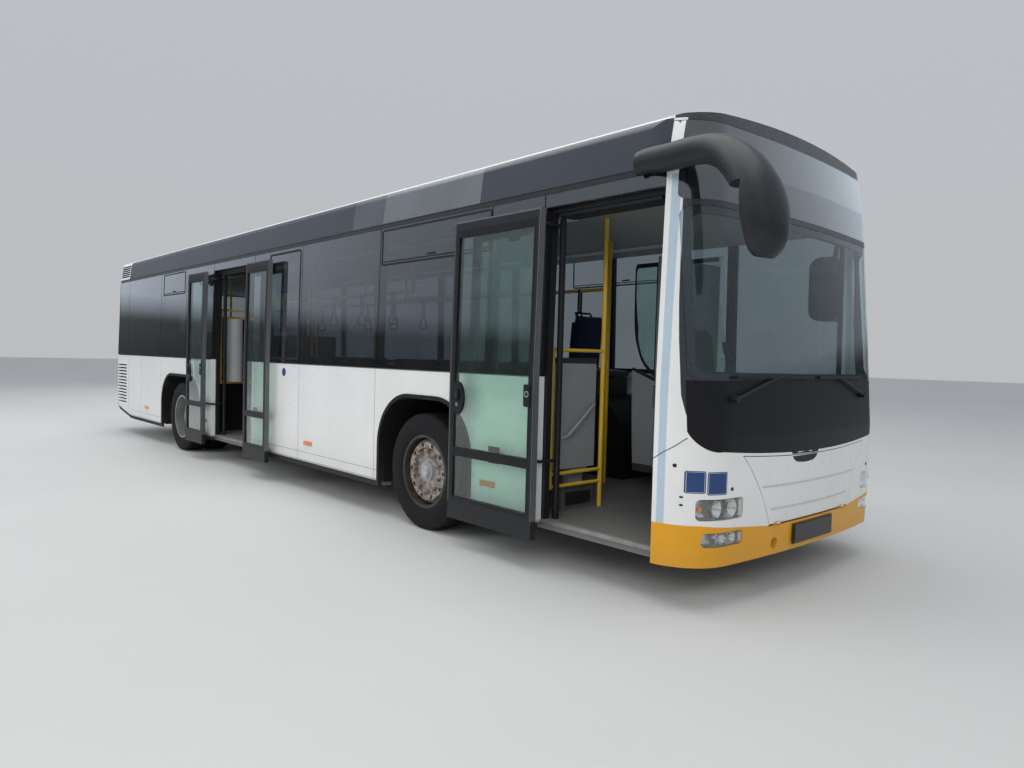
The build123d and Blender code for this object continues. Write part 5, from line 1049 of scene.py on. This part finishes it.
def skirt_strips():
    """Dark strip that closes the side walls below, between the wheel arches and the doors."""
    strips = Mesh()
    last = 594
    for side, name in SIDES:
        walls = skin_of(f"side_wall_{name}", "engine_grilles", "rear_wall")
        run = []
        for k in range(last + 1):
            behind = 0.39 + k * 0.0193
            low = SKIRT + max(0.0, behind - 10.95) * 0.16
            hit, _ = on_skin(walls, name, at(behind), low + 0.013)
            if hit is not None:
                run.append(Vector((hit.x, hit.y, low)))
            if hit is None or k == last:
                if len(run) > 3:
                    section = [(0, -side * out, -down) for out, down in STRIP_SECTION]
                    strips.rings([from_place(p, *section) for p in run[::12] + run[-1:]])
                run = []
    strips.make("skirt_strips", "rubber_black", smooth=False)


def dark_backs():
    """Dark sheets behind the engine grilles and the slots over them, painted shade of the engine bay, and the
    sheet behind the flap.
    """
    dark, sheet = Mesh(), Mesh()
    # Dark sheets behind the grilles and the slots: painted shade of the engine bay.
    for side in (-1, 1):
        dark.side_box(side, (-6.06, -5.46), (1.156, 1.162), (0.5, 1.19))
        dark.side_box(side, (at(11.7), at(11.2)), (1.14, 1.15), (2.6, 2.812))
    dark.make("louvre_painted_shade", "joints_and_shade_dark", smooth=False)
    sheet.box((5.468, -0.86, 0.345), (5.474, 0.16, 0.905), 0, 0.002)
    for k in range(5):
        sheet.box((5.472, -0.82, 0.4 + 0.1 * k), (5.48, 0.12, 0.43 + 0.1 * k), 0, 0.003)
    sheet.make("nose_bulkhead", "plastic_black")


def leaf_fittings():
    """Grip recess and lock of the leaves, and the rubber along their edges."""
    for tag, (x0, x1) in zip(("front", "rear_a", "rear_b"), LEAVES):
        fit = Mesh()
        skin = skin_of(f"door_{tag}_leaf")
        for x in (x0 + 0.0018, x1 - 0.0018):
            ribbon(fit, skin, "right", [(x, 0.25), (x, 2.4)], 0.003, 0.0012)
        if tag != "rear_b":
            grip, lock = x0 + 0.102, x1 - 0.066
            patch(fit, skin, "right", rounded(grip - 0.014, grip + 0.014, 1.1, 1.2, 0.012), 0.002, rings=2)
            for x, z, r, count, lift, mark in (
                    (grip, 1.075, 0.013, 16, 0.003, 1), (grip, 1.075, 0.0065, 12, 0.005, 0),
                    (lock, 1.19, 0.021, 20, 0.0035, 1), (lock, 1.19, 0.014, 16, 0.006, 0)):
                patch(fit, skin, "right", circle(x, z, r, count), lift, 2, mark)
        fit.make(f"leaf_fittings_{tag}", "rubber_black aluminium", f"door_{tag}_leaf")


# Inside


# Ceiling rails: place across, ends along the bus, hangers
RAILS = ((0.3, 3.7, -3.43, (3.0, 1.2, 0.5, -1.0, -2.6)), (-0.56, 1.9, -1.75, (1.9, 1.0)))
# Hanging grip, from its rail: boxes of the strap, and the loop
STRAP = ((-0.018, -0.0155, -0.2, 0.014), (0.0155, 0.018, -0.2, 0.014), (-0.018, 0.018, 0.014, 0.017))
LOOP = [(0, y, z) for y, z in ((0, -0.19), (-0.02, -0.2), (-0.056, -0.3), (-0.045, -0.315), (0.045, -0.315),
                               (0.056, -0.3), (0.02, -0.2))]
# Upper edge of the cab's pane, metres behind the front and height
CAB_PANE_EDGE = [(0.715, 1.31), (0.742, 1.34), (0.845, 1.5), (0.877, 1.62), (0.896, 1.8), (0.905, 2.0),
                 (0.912, 2.23), (1.44, 2.23)]


def dress_inside():
    """Ceiling rails with hangers and grips, light strips, handle and slots of the screen by the door,
    border of the cab's pane, yellow step edges, instruments."""
    rails, grips, lights, fittings, border = [Mesh() for _ in range(5)]
    for y, x0, x1, hangers in RAILS:
        rails.tube([(x0, y, RAIL_HEIGHT), (x1, y, RAIL_HEIGHT)], 0.0155, 0, 12)
        for x in hangers:
            rails.tube([(x, y, RAIL_HEIGHT), (x, y, CEILING - 0.002)], 0.012)
            rails.stud([(0, 0.034), (0.006, 0.032), (0.01, 0.015), (0.011, 0.0)],
                       (x, y, CEILING - 0.001), -1, 16, 0, "Z")
        x = x0 - 0.35
        while x > x1 + 0.3:
            for y0, y1, z0, z1 in STRAP:
                grips.box((x - 0.013, y + y0, RAIL_HEIGHT + z0), (x + 0.013, y + y1, RAIL_HEIGHT + z1))
            grips.tube(from_place((x, y, RAIL_HEIGHT), *LOOP), 0.0075, 1, 8, closed=True)
            x -= 0.62
    rails.make("ceiling_rails", "rail_paint", slot="rail_yellow", sharp=50)
    grips.make("hanging_grips", "grip_strap plastic_black", sharp=50)
    for y in (-0.72, 0.72):
        for x0, x1 in ((4.2, 2.3), (2.1, 0.2), (0.0, -1.9), (-2.1, -4.0), (-4.2, -5.6)):
            lights.box((x1, y - 0.055, 2.466), (x0, y + 0.055, 2.4795), 0, 0.004)
    lights.make("ceiling_lights", "lamp_strip", slot="ceiling_white", sharp=40)
    x = 4.3445
    fittings.tube(from_place((x, 0, 0), (0, -0.93, 0.86), (0.035, -0.9, 0.885), (0.04, -0.76, 1.0),
                             (0.04, -0.66, 1.085), (0.035, -0.63, 1.1), (0, -0.62, 1.105)), 0.011)
    for k in range(7):
        z = 0.375 + k * 0.014
        fittings.box((x - 0.007, -0.87, z), (x + 0.002, -0.6, z + 0.006), 1)
    fittings.make("screen_fittings", "cab_bar rubber_black", slot="grey_plastic", sharp=40)
    for _, name in SIDES:
        ribbon(border, skin_of("cab_glass"), name, along(CAB_PANE_EDGE), 0.034, 0.0015, 0.03)
    border.make("cab_glass_border", "rubber_black", slot="clear_glass", smooth=False)
    cab_door()
    edges, dials = Mesh(), Mesh()
    edges.box((4.262, 0.246, 0.546), (5.06, 0.2505, 0.561), 0, 0.001)
    x = at(7.68)
    edges.box((x - 0.002, -0.6, REAR_FLOOR - 0.012), (x + 0.03, 0.6, REAR_FLOOR + 0.003), 0, 0.001)
    edges.make("step_edges", "rail_paint", slot="rail_yellow", smooth=False)
    dials.box((5.06, 0.5, 1.292), (5.2, 0.82, 1.36), 0, 0.012)
    dials.box((5.0585, 0.53, 1.3), (5.0605, 0.79, 1.35), 1)
    dials.make("dash_cluster", "plastic_black panel_black", sharp=40)


def upright(line, y):
    """Ring of points (behind, height) in the plane y."""
    return [(x, y, z) for x, z in along(line)]


def cab_door():
    """Door of the cab behind its side panel: grey lower part, pane with a rounded black edge."""
    door, pane = Mesh(), Mesh()
    low = [(1.504, 0.495), (1.707, 0.495), (1.728, 0.9), (1.742, 1.335), (1.735, 1.35), (1.504, 1.262)]
    lip = [(1.504, 1.263), (1.735, 1.351), (1.74, 1.372), (1.504, 1.284)]
    door.rings([upright(low, y) for y in (0.2505, 0.2735)])
    door.rings([upright(lip, y) for y in (0.247, 0.277)], 1)
    edge = [(1.505, 1.288), (1.56, 1.335), (1.614, 1.385), (1.655, 1.44), (1.685, 1.51), (1.715, 1.6),
            (1.732, 1.7), (1.738, 1.82), (1.74, 2.0), (1.74, 2.21), (1.725, 2.25), (1.505, 2.25)]
    mid = [sum(values) / len(edge) for values in zip(*edge)]
    inner = []
    for b, z in edge:
        far = math.hypot(mid[0] - b, mid[1] - z) / 0.036
        inner.append((b + (mid[0] - b) / far, z + (mid[1] - z) / far))
    door.rings([upright(line, y) for line, y in (
        (edge, 0.256), (inner, 0.256), (inner, 0.268), (edge, 0.268), (edge, 0.256))], 1, ends=False)
    door.make("cab_door", "cab_grey rubber_black", slot="grey_plastic", sharp=40)
    pane.rings([upright(inner, y) for y in (0.2595, 0.2645)])
    pane.make("cab_door_pane", "door_glass", slot="clear_glass", sharp=40)


dress_seats()
box_seat()
dress_driver_seat()
dress_front()
dress_lamps()
dress_sides()
skirt_strips()
dark_backs()
leaf_fittings()
dress_inside()
